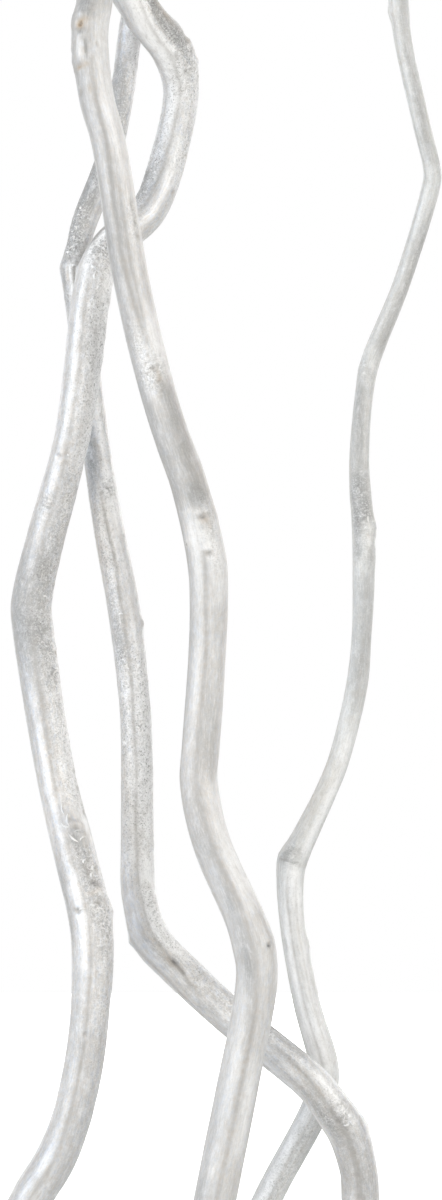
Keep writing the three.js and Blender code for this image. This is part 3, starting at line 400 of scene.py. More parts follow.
STEMS["stem_back"] = dict(
    coat="silver_coat", seed=37, grain=1, flakes=44,
    bends=[
        (15, 3, FOOT_Z, 10.6), (16, 2, 130, 10.6), (16.9, 1.1, 230, 10.4), (17.2, 0.8, 262, 10.4),
        (17, 0, 305, 10.2), (21, -3, 328, 10), (29, -4, 350, 10), (35, -1, 372, 10), (36, 5, 396, 9.8),
        (35, 7, 420, 9.8), (34.5, 5, 427, 9.6), (32, 3, 436, 10.2), (29, 2, 441, 10), (23, 1, 449, 9.6),
        (3, 4, 465, 9.2), (-8, 7, 475, 9.4), (-16.5, 11, 484, 9.2), (-20.5, 13, 495, 8.8),
        (-21, 12, 512, 8.4), (-21.5, 8, 542, 7.8), (-24.5, 8, 569, 8.2), (-28.5, 11, 590, 7.6),
        (-32, 12, 613, 7), (-35, 10, 639, 6.8), (-36.5, 9, 654, 6.8), (-35.5, 9, 661, 6.8),
        (-28.5, 9, 680, 6.4), (-25, 10, 696, 6), (-23, 12, 711, 6), (-21.5, 13, 721, 6),
        (-19.5, 14, 740, 6), (-13, 13.5, 765, 5.6), (-3, 14, 788, 5.6), (5, 20, 810, 5.4),
        (8, 31, 835, 5.2), (4, 40.5, 862, 5), (-2, 42.5, 888, 4.8), (-3, 39, 912, 4.4), (5, 36, 938, 4.2),
        (16, 40, 962, 4), (22, 52, 988, 3.6), (20, 62, 1015, 3.2), (15, 62, 1042, 2.8),
        (17, 58.5, 1068, 2.4), (24, 64, 1092, 2),
    ],
    knobs=[
        (654, 180, 0.5, 3), (486, 180, 0.8, 4), (443, -80, 0.5, 3.5), (438.5, 0, 0.45, 3.5),
        (436.4, 6, 0.5, 1),
    ],
    grooves=[
        [(8, -60, 0.5, 1.3), (420, -94, 0.75, 1.3), (436, -94, 0.7, 1.3), (446, -90, 0.5, 1.2),
         (456, -84, 0.2, 1), (466, -110, 0.05, 1), (474, -112, 0.4, 1), (478.6, -100, 0.5, 0.9),
         (482.5, -94, 0.5, 0.8), (488, -88, 0.5, 0.7), (494.5, -80, 0.5, 0.7), (502, -86, 0.5, 0.8),
         (520, -94, 0.5, 0.9), (555, -93, 0.6, 0.8), (570, -93, 0.75, 0.8), (590, -97, 0.7, 0.8),
         (597, -99, 0.1, 0.8), (605, -99, 0, 0.8), (730, -60, 0, 0.8), (760, -50, 0.3, 0.9),
         (1092, 20, 0.1, 0.4)],
        [(640, -92, 0, 0.6), (648, -91, 0.5, 0.6), (653.6, -90, 0.8, 0.6), (654.6, -90, 0, 0.6)],
        [(642, -118, 0, 0.4), (649, -119, 0.4, 0.4), (653.6, -119, 0.6, 0.4), (654.2, -119, 0, 0.4)],
        track(-67, 0.4, (644, 0), (650, 0.4), (653.8, 0.5), (654.5, 0)),
        [(8, 25, 0.5, 1.2), (560, 5, 0.35, 1.2), (1092, 90, 0.1, 0.4)],
        [(8, 110, 0.4, 1.2), (560, 100, 0.45, 1.2), (1092, 180, 0.1, 0.4)],
        [(8, 190, 0.4, 1.2), (560, 195, 0.3, 1.2), (1092, 270, 0.1, 0.4)],
    ],
    grains=[
        [(420, -90, 0.15, 6), (437, -90, 0.3, 6), (442, -80, 0.7, 5), (450, -80, 0.35, 5),
         (462, -60, 0.5, 4), (480, -70, 0.6, 4), (486, -62, 0.9, 2.6), (496, -56, 0.9, 2.6),
         (501, -80, 0.3, 5), (506, -100, 0.7, 5), (555, -108, 0.8, 4), (565, -114, 0.7, 2.6),
         (590, -114, 0.7, 2.6), (600, -90, 0.4, 4), (640, -90, 0.3, 4), (655, -110, 0.3, 4),
         (663, -120, 1, 3), (670, -120, 0.2, 3), (700, -70, 0.5, 4), (720, -90, 0.3, 4)],
        [(500, -60, 0, 3), (520, -60, 0.45, 3), (550, -55, 0.4, 3), (560, -50, 0.1, 3), (600, -50, 0, 3)],
        track(90, 7, (400, 0.6), (740, 0.6)),
    ],
    # Lighter and darker lines: partly the coat's uneven tone, partly painted highlights and painted shade
    tones_and_painted_light=[
        patch(690, 694, 704, 709, -112, -0.6, 2.4), patch(604, 608, 620, 624, -68, 0.8, 1.8),
        patch(666, 669, 677, 680, -132, -0.5, 1.8), patch(584, 587, 594, 596, -126, 0.5, 1.4),
        patch(450, 453, 460, 464, -112, 0.5, 1.6), patch(552, 557, 570, 576, -112, -0.35, 2.6),
        patch(449, 453, 461, 467, -50, -0.6, 2),
        [(470, -118, 0, 1.4), (474, -116, -0.7, 1.5), (480, -114, -0.6, 1.6), (488, -106, -0.5, 1.4),
         (496, -98, -0.5, 1.4), (502, -98, 0, 1.4)],
        track(-112, 2.2, (452, 0), (458, -0.6), (470, -0.8), (476, 0)),
        patch(432, 437, 450, 455, -118, -0.45, 2.6), patch(437, 444, 450, 455, -45, 0.3, 2.4),
        patch(450, 455, 464, 469, -12, -1.1, 1.6), patch(655.5, 658, 676, 690, -135, -0.6, 2.6),
        track(-48, 1.8, (655, 0), (658, 0.7), (672, 0.5), (680, 0)),
        [(692, -40, 0, 1.4), (698, -42, 0.6, 1.6), (704, -66, 1.4, 2.6), (713, -70, 1.6, 2.8),
         (724, -60, 0, 1.4)],
        patch(552, 557, 570, 578, -120, -0.6, 3.2),
        track(-32, 1.8, (520, 0), (526, 0.8), (544, 0.7), (550, 0)),
        [(488, -122, 0, 2.2), (498, -128, -0.25, 2.2), (512, -132, 0, 2)],
        [(476, -72, 0, 1.8), (480, -70, 1.1, 2.2), (488, -64, 1.5, 2.4), (497, -58, 1.4, 2.4),
         (502, -56, 0, 1.6)],
        [(430, -158, 0, 2), (438, -158, 0.9, 2.4), (454, -158, 0.9, 2.2), (460, -158, 0, 2)],
        [(638, -104, 0.3, 0.8), (648, -106, 1.1, 0.8), (653.5, -107, 1.6, 0.8), (654.1, -107, 0, 0.8)],
        track(-138, 1.3, (640, 0), (646, -0.9), (653.2, -1.1), (653.8, 0)),
        track(-78, 0.7, (642, 0), (650, 0.7), (653.2, 0.9), (653.8, 0)),
        [(653.9, -105, 0, 3.4), (654.6, -105, -1, 3.4), (668, -110, -1, 4), (690, -108, -0.75, 4),
         (725, -106, -0.6, 4)],
        [(588, -126, 0, 1.6), (596, -124, -0.8, 1.8), (604, -112, -1.7, 2.2), (614, -104, -1.2, 1.3),
         (619, -104, 0, 1)],
        [(472, -125, 0, 2.5), (478, -120, -0.3, 2.5), (492, -120, -0.3, 2.5), (502, -120, 0, 2.5)],
        [(474, -55, 0, 1.8), (480, -55, 0.7, 2), (495, -55, 0.9, 2.4), (505, -55, 0.8, 2.6),
         (530, -50, 0.9, 2.8), (575, -50, 0.55, 2.8), (602, -62, 1.1, 3.2), (607, -62, 0, 3)],
        [(437, -64, 0, 1.6), (441, -64, 0.9, 1.8), (450, -62, 0.8, 1.8), (456, -62, 0.5, 1.2),
         (466, -62, 0, 1.2)],
        track(-105, 4, (499, 0), (506, 0.5), (525, 0.6), (532, 0)),
        [(415, -80, -0.7, 6), (432, -88, -0.65, 5), (448, -100, -0.5, 4), (458, -100, 0, 4)],
    ],
    pits=[
        (478, -100, 0.85, 1, 0.6), (476, -98, 0.6, 0.9, 0.5), (705.5, -66, 0.25, 0.4, 0.9),
        (702.5, -72, 0.25, 0.4, 0.9), (598, -62, 0.35, 0.5, 0.8), (596, -57, 0.35, 0.5, 0.7),
        (585, -34, 0.3, 0.5, 0.5), (470, -147, 0.35, 0.6, 0.6), (469, -88, 0.3, 0.6, 0.5),
        (440.3, -88, 0.6, 0.7, 0.7), (427, -92, 0.35, 0.7, 0.4), (655.6, -105, 0.25, 0.6, 2),
    ],
    ridges=[
        (659.5, 178, -0.7, 4.5, 2.6), (563.7, -10, 0.5, 1.1, 1.1), (441.6, -78, 0.3, 0.6, 1.2),
        (479, -90, 0.2, 2.5, 0.5), (486.5, 176, 0.5, 1.1, 1.6),
    ],
    collars=[
        (654, -145, 0.3, 9, 1.4), (654.2, 178, 0.25, 8, 1.2), (653.9, -107, 0.6, 5, 0.5),
        (653.4, -79, 0.5, 5, 0.45), (652.8, -60, 0.4, 3, 0.5),
    ],
    wrinkles=[(597, -65, 0.6, 3, 2), (490, -60, 0.5, 6, 2), (659, -115, 0.8, 4, 3), (441, -80, 0.5, 4, 4)],
    scars=[(478.5, -112, 0.2, 2.4, 0.6), (484, -104, 0.2, 3, 0.5)],
    curls=[
        (598, -64, 1.6, 60, 140, 0.3), (596.5, -56, 1.4, 110, -120, 0.3), (595.5, -68, 1.2, 20, 120, 0.25),
        (441, -66, 1.8, 70, 130, 0.3), (439.5, -82, 1.6, 100, -100, 0.3), (653.5, -106, 1.4, 80, 120, 0.3),
        (665.5, -132, 1, 70, 120, 0.3), (664.2, -140, 0.9, 10, 140, 0.3), (663, -126, 1.1, 120, 130, 0.3),
        (661.8, -136, 1, 40, -140, 0.3), (660.4, -124, 1.1, 90, 120, 0.3), (659, -134, 1, 0, 140, 0.3),
        (657.6, -120, 1.2, 60, 100, 0.3), (657, -138, 0.9, 130, 120, 0.3),
        (666.8, -124, 0.8, 60, 120, 0.25),
    ],
)

STEMS["stem_right"] = dict(
    coat="pearl_coat", look="grey_pearl_coat", seed=53, grain=0.45, flakes=5,
    bends=[
        (-1, 17, FOOT_Z, 8.4), (-2, 17, 130, 8.4), (-2.9, 17, 230, 8.2), (-3.2, 17, 262, 8),
        (-5, 17.5, 305, 8), (-8, 20, 322, 7.8), (-11, 22, 342, 7.6), (-10.5, 22, 362, 7.6),
        (-5, 19, 383, 7.4), (11.5, 15, 419, 7.2), (14, 14, 424, 7.2), (24, 13, 443, 7.4),
        (26, 13, 451, 7.4), (21.5, 14, 469, 6.8), (18, 16, 488, 6.4), (17.5, 15, 501, 7),
        (18.5, 15, 505, 6.8), (25.5, 10, 520, 5.6), (29.5, 6, 530, 5.4), (34, 0, 549, 5.4),
        (35, -3, 560, 5), (35.5, -5, 572, 5.4), (35.5, -6, 586, 5.6), (34.5, -3, 604, 5), (36, 3, 623, 4.6),
        (37.5, 5, 630, 4.8), (45.5, 9, 650, 4.4), (52.5, 9, 673, 4.6), (53, 8, 677, 4.4), (50, 4, 690, 4.4),
        (45.5, 1, 710, 4.4), (44.5, 0, 720, 4.8), (43.5, -3, 735, 4.6), (46, -9, 757, 4.4),
        (54, -13, 780, 4.2), (61, -12.5, 802, 4), (63, -8.5, 825, 3.8), (58, -5.5, 850, 3.6),
        (52, -10, 875, 3.2), (51, -18.5, 898, 3.2), (58, -25.5, 922, 2.8), (67, -27.5, 945, 2.4),
        (71, -21.5, 970, 2.2), (68, -20, 995, 1.8),
    ],
    knobs=[
        (717.5, 180, 0.8, 2.5), (627.5, -110, 0.5, 2.5), (596, -100, 0.6, 2.5), (588, 0, 0.6, 2.5),
        (581, -60, 0.5, 2.5), (504.5, 180, 0.8, 3), (506, -110, 0.6, 2.5), (482.5, 0, 0.5, 2.5),
    ],
    grooves=[
        [(8, -40, 0.4, 1), (420, -92, 0.25, 0.9), (440, -94, 0.2, 0.9), (457, -102, 0.3, 0.7),
         (495, -104, 0.3, 0.7), (502, -104, 0, 0.7), (535, -80, 0, 1), (550, -78, 0.15, 1),
         (572, -78, 0.15, 1), (578, -80, 0, 1), (598, -96, 0, 1), (603, -97, 0.2, 1), (620, -97, 0.2, 1),
         (626, -97, 0, 1), (740, -60, 0.1, 0.8), (995, 0, 0.08, 0.4)],
        track(-66, 0.7, (455, 0.1), (460, 0.2), (495, 0.2), (503, 0)),
        [(8, 30, 0.4, 1), (560, 10, 0.25, 0.9), (995, 90, 0.08, 0.4)],
        [(8, 110, 0.3, 1), (560, 100, 0.3, 0.9), (995, 180, 0.08, 0.4)],
        [(8, 190, 0.4, 1), (560, 190, 0.25, 0.9), (995, 270, 0.08, 0.4)],
    ],
    grains=[
        track(-90, 4, (420, 0.6), (440, 0.4), (450, 0.1), (575, 0.1), (582, 0.45), (598, 0.45), (604, 0.1)),
    ],
    # Lighter and darker lines: partly the coat's uneven tone, partly painted highlights and painted shade
    tones_and_painted_light=[
        patch(592, 594, 599, 602, -88, -0.7, 1.4), patch(576, 578, 582, 584, -84, 0.3, 1.4),
        patch(452, 455, 462, 466, -126, 0.7, 1.8), patch(447, 452, 464, 470, -104, 1, 3),
        patch(492, 495, 502, 504.5, -72, 0.9, 2), patch(579, 582, 588, 591, -122, -0.8, 1.6),
        [(502.6, -130, 0, 0.9), (503.8, -130, -0.9, 1.1), (507, -122, -0.7, 1.1), (508.4, -120, 0, 0.9)],
        [(462, -118, 0.2, 1.4), (470, -120, 0.6, 1.4), (492, -120, 0.6, 1.4), (500, -120, 0, 1.4)],
        [(462, -55, 0.2, 2), (470, -55, 0.6, 2), (492, -55, 0.6, 2), (500, -55, 0, 1.8)],
        track(-118, 1.6, (415, 0.8), (434, 0.7), (446, 0.3), (452, 0)),
        [(679, -78, 0, 1), (684, -78, -0.7, 1.1), (715, -78, -0.7, 1.1), (730, -78, -0.2, 1.1)],
        track(-62, 1.8, (628, 0), (634, -0.9), (660, -0.8), (672, 0)),
        patch(601, 606, 620, 626, -50, 0.4, 1),
        track(-88, 2.8, (540, 0), (552, -0.7), (572, -0.8), (578, 0)),
        patch(506, 512, 522, 532, -115, -0.2, 1.4),
        [(504, -68, 0, 1.4), (510, -68, 0.8, 1.4), (535, -72, 0.6, 1.4), (545, -72, 0, 1.4)],
        [(572, -90, 0, 2.4), (577, -85, -0.3, 2.4), (582, -80, -0.2, 2.4), (584, -80, 0, 2.4)],
        [(583, -70, 0, 1.4), (586, -66, 0.45, 1.4), (589, -62, 0.45, 1.4), (591, -60, 0, 1.4)],
        [(588, -66, 0, 1), (590.5, -66, -0.9, 1.2), (594, -60, -0.5, 1.2), (596, -60, 0, 1)],
        [(586, -128, 0, 1), (590, -128, -0.8, 1.2), (598, -120, -0.5, 1.2), (602, -120, 0, 1)],
        [(593, -100, 0, 1), (595, -100, 0.7, 1), (599, -110, 0.5, 1), (601, -110, 0, 1)],
        track(-60, 1.2, (578, 0), (581, -0.7), (584, 0)),
        [(585, -95, 0, 3), (590, -95, -0.7, 3), (606, -95, -1, 2.6), (622, -95, -0.8, 2.6),
         (631, -95, 0, 2.6)],
    ],
    pits=[
        (597, -80, 0.3, 0.4, 1.3), (594.5, -110, 0.3, 0.4, 1.2), (592, -70, 0.35, 0.5, 1.2),
        (589, -120, 0.45, 0.5, 1.2), (586.3, -60, 0.4, 0.7, 0.7), (504.4, -122, 0.3, 0.7, 0.8),
        (627, -80, 0.25, 0.5, 0.8), (483, -140, 0.3, 1.5, 0.5),
    ],
    ridges=[(505.3, -112, 0.35, 0.8, 1.6), (626, -105, 0.3, 0.8, 1.3), (676, -90, 0.15, 1, 3)],
    collars=[(599, -90, 0.2, 2, 3), (505.6, -110, 0.1, 2, 2)],
    wrinkles=[(592, -90, 0.35, 9, 3), (506, -105, 0.3, 4, 3), (627, -90, 0.2, 3, 3)],
    scars=[],
    curls=[(586.5, -52, 1.2, 20, 120, 0.2), (589, -60, 1.6, 0, 60, 0.2)],
)


# Noise and curves

def lattice_noise(around, along, cells, seed):
    """Smooth noise from -1 to 1; around is in turns and closes on itself, along is in cells."""
    rows = int(np.ceil(along.max())) + 3
    values = np.random.default_rng(seed).uniform(-1, 1, (rows, cells))
    column = (around % 1) * cells
    left = np.floor(column).astype(int)
    low = np.floor(along).astype(int)
    across = column - left
    up = along - low
    across = across * across * (3 - 2 * across)
    up = up * up * (3 - 2 * up)
    right = (left + 1) % cells
    left = left % cells
    bottom = values[low, left] * (1 - across) + values[low, right] * across
    top = values[low + 1, left] * (1 - across) + values[low + 1, right] * across
    return bottom * (1 - up) + top * up


def spline(points, steps_of, power=0.5):
    """A smooth curve through points; steps_of(here, there) says how many steps a span gets.

    A power of 0.5 keeps the curve tight where the points lie close, and 0 treats all spans alike.
    """
    points = np.array(points, float)
    count = len(points)
    out = []
    for i in range(count - 1):
        here, there = points[i], points[i + 1]
        before = points[i - 1] if i > 0 else 2 * here - there
        after = points[i + 2] if i + 2 < count else 2 * there - here
        gaps = [max(np.linalg.norm((b - a)[:3]), 1e-9) ** power
                for a, b in ((before, here), (here, there), (there, after))]
        span = (there - here) / gaps[1]
        start = (here - before) / gaps[0] - (there - before) / (gaps[0] + gaps[1]) + span
        end = span - (after - here) / (gaps[1] + gaps[2]) + (after - there) / gaps[2]
        start = start * gaps[1]
        end = end * gaps[1]
        steps = steps_of(here, there)
        t = (np.arange(steps) / steps)[:, None]
        out.append(here + start * t + (3 * (there - here) - 2 * start - end) * t ** 2
                   + (2 * (here - there) + start + end) * t ** 3)
    out.append(points[-1:])
    return np.concatenate(out)


def wrapped(angle):
    """An angle in degrees, brought to -180..180."""
    return (angle + 180) % 360 - 180


# Meshes

def make_object(name, vertices, faces):
    mesh = bpy.data.meshes.new(name)
    mesh.from_pydata((np.asarray(vertices) * MM).tolist(), [], faces)
    mesh.validate()
    mesh.shade_smooth()
    piece = bpy.data.objects.new(name, mesh)
    bpy.context.scene.collection.objects.link(piece)
    return piece


def store(piece, name, kind, values):
    """Keeps one value for each vertex, for the materials: kind is FLOAT or FLOAT_VECTOR."""
    attribute = piece.data.attributes.new(name, kind, "POINT")
    key = "value" if kind == "FLOAT" else "vector"
    attribute.data.foreach_set(key, np.asarray(values, np.float32).ravel())


def ring_faces(rings, sides):
    """Quads between neighbouring rings, with a fan to one more vertex at each end."""
    k = np.arange(sides)
    following = (k + 1) % sides
    faces = []
    for i in range(rings - 1):
        low = i * sides
        high = low + sides
        faces += np.stack([low + k, low + following, high + following, high + k], 1).tolist()
    first, last = rings * sides, rings * sides + 1
    top = (rings - 1) * sides
    faces += np.stack([np.full(sides, first), following, k], 1).tolist()
    faces += np.stack([np.full(sides, last), top + k, top + following], 1).tolist()
    return faces


# Stems

def span_steps(here, there):
    """How many rings a stretch of the route gets: most of them where the stems are seen closest."""
    reach = np.linalg.norm((there - here)[:3])
    middle = (here[2] + there[2]) / 2
    spacing = RING_PLAIN
    if middle < BURIED_TOP:
        spacing = RING_BURIED
    elif WINDOW_LOW < middle < WINDOW_HIGH:
        spacing = RING_FINE
    return max(1, int(round(reach / spacing)))


def all_knobs(stem):
    """The listed knobs, and the bud scars that climb the rest of the stem in a spiral."""
    bends = stem["bends"]
    heights = [bend[2] for bend in bends]
    knobs = list(stem["knobs"])
    side = stem["knobs"][0][1]
    z = VASE_HEIGHT + BUD_SPACING / 2
    while z < bends[-1][2] - BUD_TOP_MARGIN:
        side += BUD_TURN
        shrink = np.interp(z, heights, [bend[3] for bend in bends]) / bends[0][3]
        if z < LISTED_LOW or z > LISTED_HIGH:
            knobs.append((z, side, BUD_HEIGHT * shrink, BUD_LENGTH * math.sqrt(shrink)))
        z += BUD_SPACING
    return knobs


def soft_spot(z, angle, radius, at_z, at_side, length, width):
    """1 at a spot on the skin, fading out over its length along the stem and width round it."""
    round_it = np.radians(wrapped(angle - at_side)) * radius
    return np.exp(-((z - at_z) / length) ** 2 - (round_it / width) ** 2)


def soft_lines(z, angle, radius, lines, widen=1.0):
    """Lines along the stem: their amount where they run, fading out over their width round it."""
    total = 0
    for points in lines:
        at, side, amount, width = (np.array(column) for column in zip(*points))
        round_it = np.radians(wrapped(angle - np.interp(z, at, side))) * radius
        total = total + np.interp(z, at, amount) * np.exp(-(round_it / np.interp(z, at, width) / widen) ** 2)
    return total


def stem_skin(stem):
    """The stem's points, and for each of them what the materials read and its place unrolled."""
    line = spline(stem["bends"], span_steps)
    centre = line[:, :3]
    radius = line[:, 3:4] / 2
    z = centre[:, 2:3]
    tangent = np.gradient(centre, axis=0)
    tangent /= np.linalg.norm(tangent, axis=1, keepdims=True)
    right = np.array([1.0, 0, 0]) - tangent * tangent[:, :1]
    right /= np.linalg.norm(right, axis=1, keepdims=True)
    away = np.cross(tangent, right)
    along = np.concatenate([[0], np.cumsum(np.linalg.norm(np.diff(centre, axis=0), axis=1))])[:, None]
    angle = (np.arange(STEM_SIDES) * 360 / STEM_SIDES)[None, :]
    turns = np.broadcast_to(angle / 360, (len(line), STEM_SIDES))
    along = np.broadcast_to(along, turns.shape)
    seed = stem["seed"]

    def noise(length, cells, number):
        """Noise of a given length along the stem, with so many cells round it."""
        return lattice_noise(turns, along / length, cells, seed + number)

    def spot(at_z, side, length, width):
        return soft_spot(z, angle, radius, at_z, side, length, width)

    swayed = angle + 4 * noise(14, 3, 1)
    fade = 1 + 0.3 * noise(26, 5, 2)
    dip = soft_lines(z, swayed, radius, stem["grooves"], GROOVE_WIDE) * fade
    crease = soft_lines(z, swayed, radius, stem["grooves"], GROOVE_FINE) * fade
    rise = GROOVE_SHOULDER * dip.mean(1, keepdims=True) - GROOVE_DEPTH * dip - CREASE_DEPTH * crease
    rise = rise + radius * (0.02 * noise(34, 7, 3) + 0.008 * noise(22, 17, 4) + 0.02 * noise(13, 5, 5))

    scar = np.zeros(turns.shape)
    # dark: painted shade in the pits, and darker wrinkles round the knobs
    dark = np.zeros(turns.shape)
    splinter_highlight = np.zeros(turns.shape)
    wrinkle = noise(0.9, 5, 6) + 0.6 * noise(0.7, 11, 7)
    for at_z, side, height, length in all_knobs(stem):
        rise += height * spot(at_z, side, length, length)
        near = spot(at_z, side, 1.4 * length, 1.4 * length)
        rise += KNOB_WRINKLE * near * wrinkle
        dark += 0.15 * near * np.clip(wrinkle, 0, 1)
    # Each pit: a hollow in the skin with painted shade in it
    for at_z, side, deep, length, width in stem["pits"]:
        hole = spot(at_z, side, length, width)
        rim = spot(at_z, side, PIT_RIM_SIZE * length, PIT_RIM_SIZE * width)
        rise += PIT_RIM * deep * rim - PIT_DEPTH * deep * hole
        dark += 1.5 * deep * hole
    for at_z, side, strength, length, width in stem["scars"]:
        scar += strength * spot(at_z, side, length, width)
    for at_z, side, height, length, width in stem["ridges"]:
        rise += height * spot(at_z, side, length, width)
    for at_z, side, height, fall, width in stem["collars"]:
        below = at_z + 0.35 * noise(9, 23, 8) - z
        round_it = np.radians(wrapped(angle - side)) * radius
        fading = np.exp(-np.clip(below, 0, None) / fall - (round_it / width) ** 4)
        splinter = np.clip(below / COLLAR_EDGE, 0, 1) * fading
        rise += height * splinter
        # The splinters are made lighter: a painted highlight on their edge
        splinter_highlight += 1.4 * height * splinter
    creased = np.zeros(turns.shape)
    for at_z, side, strength, length, width in stem["wrinkles"]:
        creased += strength * spot(at_z, side, length, width)
    creased = creased * (0.8 + 0.6 * noise(2.2, 9, 14))
    rise += WRINKLE_DEPTH * wrinkle * creased
    rough = soft_lines(z, swayed, radius, stem["grains"])
    rough = np.clip(rough * (1 + 0.35 * noise(5, 7, 10)), 0, 1)
    grain = noise(0.8, 44, 11)
    lumps = noise(2.4, 15, 12)
    size = np.minimum(1, radius / 3)
    rise += size * (rough * (GRAIN_DEPTH * grain + LUMP_DEPTH * lumps) + PLAIN_GRAIN * stem["grain"] * grain)
    # Lighter and darker lines: partly the coat's uneven tone, partly painted highlights and painted shade
    tone = soft_lines(z, swayed, radius, stem["tones_and_painted_light"])

    out = (radius + rise * size)[..., None]
    cos, sin = np.cos(np.radians(angle)), np.sin(np.radians(angle))
    points = centre[:, None] + out * (cos[..., None] * right[:, None] + sin[..., None] * away[:, None])
    skin = {
        # Darker in grooves and pits: painted shade, partly a dirty film in the creases
        "hollow_dirt_and_shade": np.clip((crease + 0.3 * dip) / 0.6 + dark, 0, 1),
        "scar": np.clip(scar, 0, 1),
        "rough": rough,
        "tone": tone * (1 + 0.3 * noise(6, 9, 13)) + splinter_highlight,
        "creased": np.clip(creased, 0, 1),
        # The pits' dark centres: painted shadow
        "pit_shadow": np.clip(2 * dark - 1.6, 0, 1),
    }
    unrolled = np.stack([radius * cos, radius * sin, along], 2)
    return centre, points, skin, unrolled


class Skin:
    """The grid of a stem's surface, for laying things on it."""

    def __init__(self, centre, points, unrolled):
        self.centre, self.points, self.unrolled = centre, points, unrolled

    def row_at(self, z):
        """The ring, counted with a fraction, where the stem's middle passes a height."""
        heights = self.centre[:, 2]
        return float(np.interp(z, heights, np.arange(len(heights))))

    def sample(self, grid, row, side):
        row = min(max(row, 0), len(grid) - 1.001)
        column = side % 360 / 360 * STEM_SIDES
        low, left = int(row), int(column)
        right = (left + 1) % STEM_SIDES
        up, across = row - low, column - left
        bottom = grid[low, left] * (1 - across) + grid[low, right] * across
        top = grid[low + 1, left] * (1 - across) + grid[low + 1, right] * across
        return bottom * (1 - up) + top * up

    def place(self, row, side, height):
        """The point at a height above the surface."""
        on_skin = self.sample(self.points, row, side)
        low = int(min(max(row, 0), len(self.centre) - 2))
        middle = self.centre[low] * (1 - (row - low)) + self.centre[low + 1] * (row - low)
        outward = on_skin - middle
        reach = np.linalg.norm(outward)
        return on_skin + outward / reach * height, reach


def flake_vertices(skin, z, side, length, heading, bend, lift):
    """A peeled flake: a narrow curved strip with one long edge on the skin and the other lifted."""
    row = skin.row_at(z)
    low = int(min(row, len(skin.centre) - 2))
    spacing = np.linalg.norm(skin.centre[low + 1] - skin.centre[low])
    places, along = [], 0.0
    up = round_it = 0.0
    step = length / FLAKE_STEPS
    for i in range(FLAKE_STEPS + 1):
        t = i / FLAKE_STEPS
        turn = math.radians(heading + bend * (t - 0.5))
        swell = math.sqrt(math.sin(math.pi * min(max(t, 0.04), 0.96)))
        radius = skin.place(row + up / spacing, side, 0)[1]
        for across, height in ((-0.5, -0.15), (-0.5, 0.02), (0.5, lift * swell),
                               (0.5, lift * swell - FLAKE_THICKNESS)):
            off = across * FLAKE_WIDTH * swell
            row_here = row + (up - off * math.sin(turn)) / spacing
            side_here = side + math.degrees((round_it + off * math.cos(turn)) / radius)
            places.append((skin.place(row_here, side_here, height)[0],
                           skin.sample(skin.unrolled, row_here, side_here)))
        up += step * math.cos(turn)
        round_it += step * math.sin(turn)
    return places


def scattered_flakes(skin, stem, rough):
    """Small flakes where the skin is grainy, by a seeded draw."""
    rng = np.random.default_rng(stem["seed"] + 40)
    weight = rough ** 3
    rows, columns = np.nonzero(weight > 0.05)
    chance = weight[rows, columns] / weight[rows, columns].sum()
    for pick in rng.choice(len(rows), stem["flakes"], p=chance):
        yield (skin.centre[rows[pick], 2], columns[pick] * 360 / STEM_SIDES, rng.uniform(0.6, 1.8),
               rng.uniform(0, 360), rng.uniform(-140, 140), rng.uniform(0.1, 0.3))


def make_stem(name, stem):
    centre, points, facts, unrolled = stem_skin(stem)
    rings = len(centre)
    skin = Skin(centre, points, unrolled)
    vertices = [points.reshape(-1, 3), centre[:1], centre[-1:]]
    flat = [unrolled.reshape(-1, 3), np.array([[0, 0, 0], [0, 0, unrolled[-1, 0, 2]]])]
    faces = ring_faces(rings, STEM_SIDES)
    skin_faces = len(faces)
    count = rings * STEM_SIDES + 2
    curls = list(stem["curls"]) + list(scattered_flakes(skin, stem, facts["rough"]))
    for curl in curls:
        places = flake_vertices(skin, *curl)
        vertices.append(np.array([place for place, _ in places]))
        flat.append(np.array([spot for _, spot in places]))
        for i in range(FLAKE_STEPS):
            for k in range(4):
                low = count + 4 * i
                faces.append([low + k, low + (k + 1) % 4, low + 4 + (k + 1) % 4, low + 4 + k])
        faces.append([count + 3, count + 2, count + 1, count])
        last = count + 4 * FLAKE_STEPS
        faces.append([last, last + 1, last + 2, last + 3])
        count += len(places)
    piece = make_object(name + "_skin", np.concatenate(vertices), faces)
    smooth = np.ones(len(faces), bool)
    smooth[skin_faces:] = False
    piece.data.polygons.foreach_set("use_smooth", smooth)
    # On the flakes: painted highlight on the upper faces, and painted shadow on the undersides
    bright = FLAKE_HIGHLIGHT * stem["grain"]
    flake_painted_light = {"tone": [0, bright, bright, 0], "hollow_dirt_and_shade": [0.8, 0, 0, 1]}
    repeats = len(curls) * (FLAKE_STEPS + 1)
    for key, values in facts.items():
        rest = np.tile(flake_painted_light.get(key, [0] * 4), repeats)
        store(piece, key, "FLOAT", np.concatenate([values.ravel(), [0, 0], rest]))
    store(piece, "unrolled", "FLOAT_VECTOR", np.concatenate(flat))
    return piece


# Vase and sand, turned about the vertical axis

def turned(name, profile, segments, shaped):
    """A closed turned solid: profile is (radius, height) from the axis below to the axis above.

    The function shaped then moves its points.
    """
    angle = np.arange(segments) * 2 * math.pi / segments
    radius = np.array([p[0] for p in profile])[:, None]
    height = np.array([p[1] for p in profile])[:, None] + 0 * angle
    x = radius * np.cos(angle)
    y = radius * np.sin(angle)
    points = shaped(np.stack([x, y, height], 2))
    first = points[0].mean(0) * [0, 0, 1]
    last = points[-1].mean(0) * [0, 0, 1]
    vertices = np.concatenate([points.reshape(-1, 3), [first], [last]])
    return make_object(name, vertices, ring_faces(len(profile), segments))


def outline_radius(height):
    """The vase's outer radius at a height, smooth through the outline's points."""
    line = spline([(r, 0, h) for r, h in VASE_OUTLINE], lambda low, high: OUTLINE_STEPS, power=0)
    return float(np.interp(height, line[:, 2], line[:, 0]))


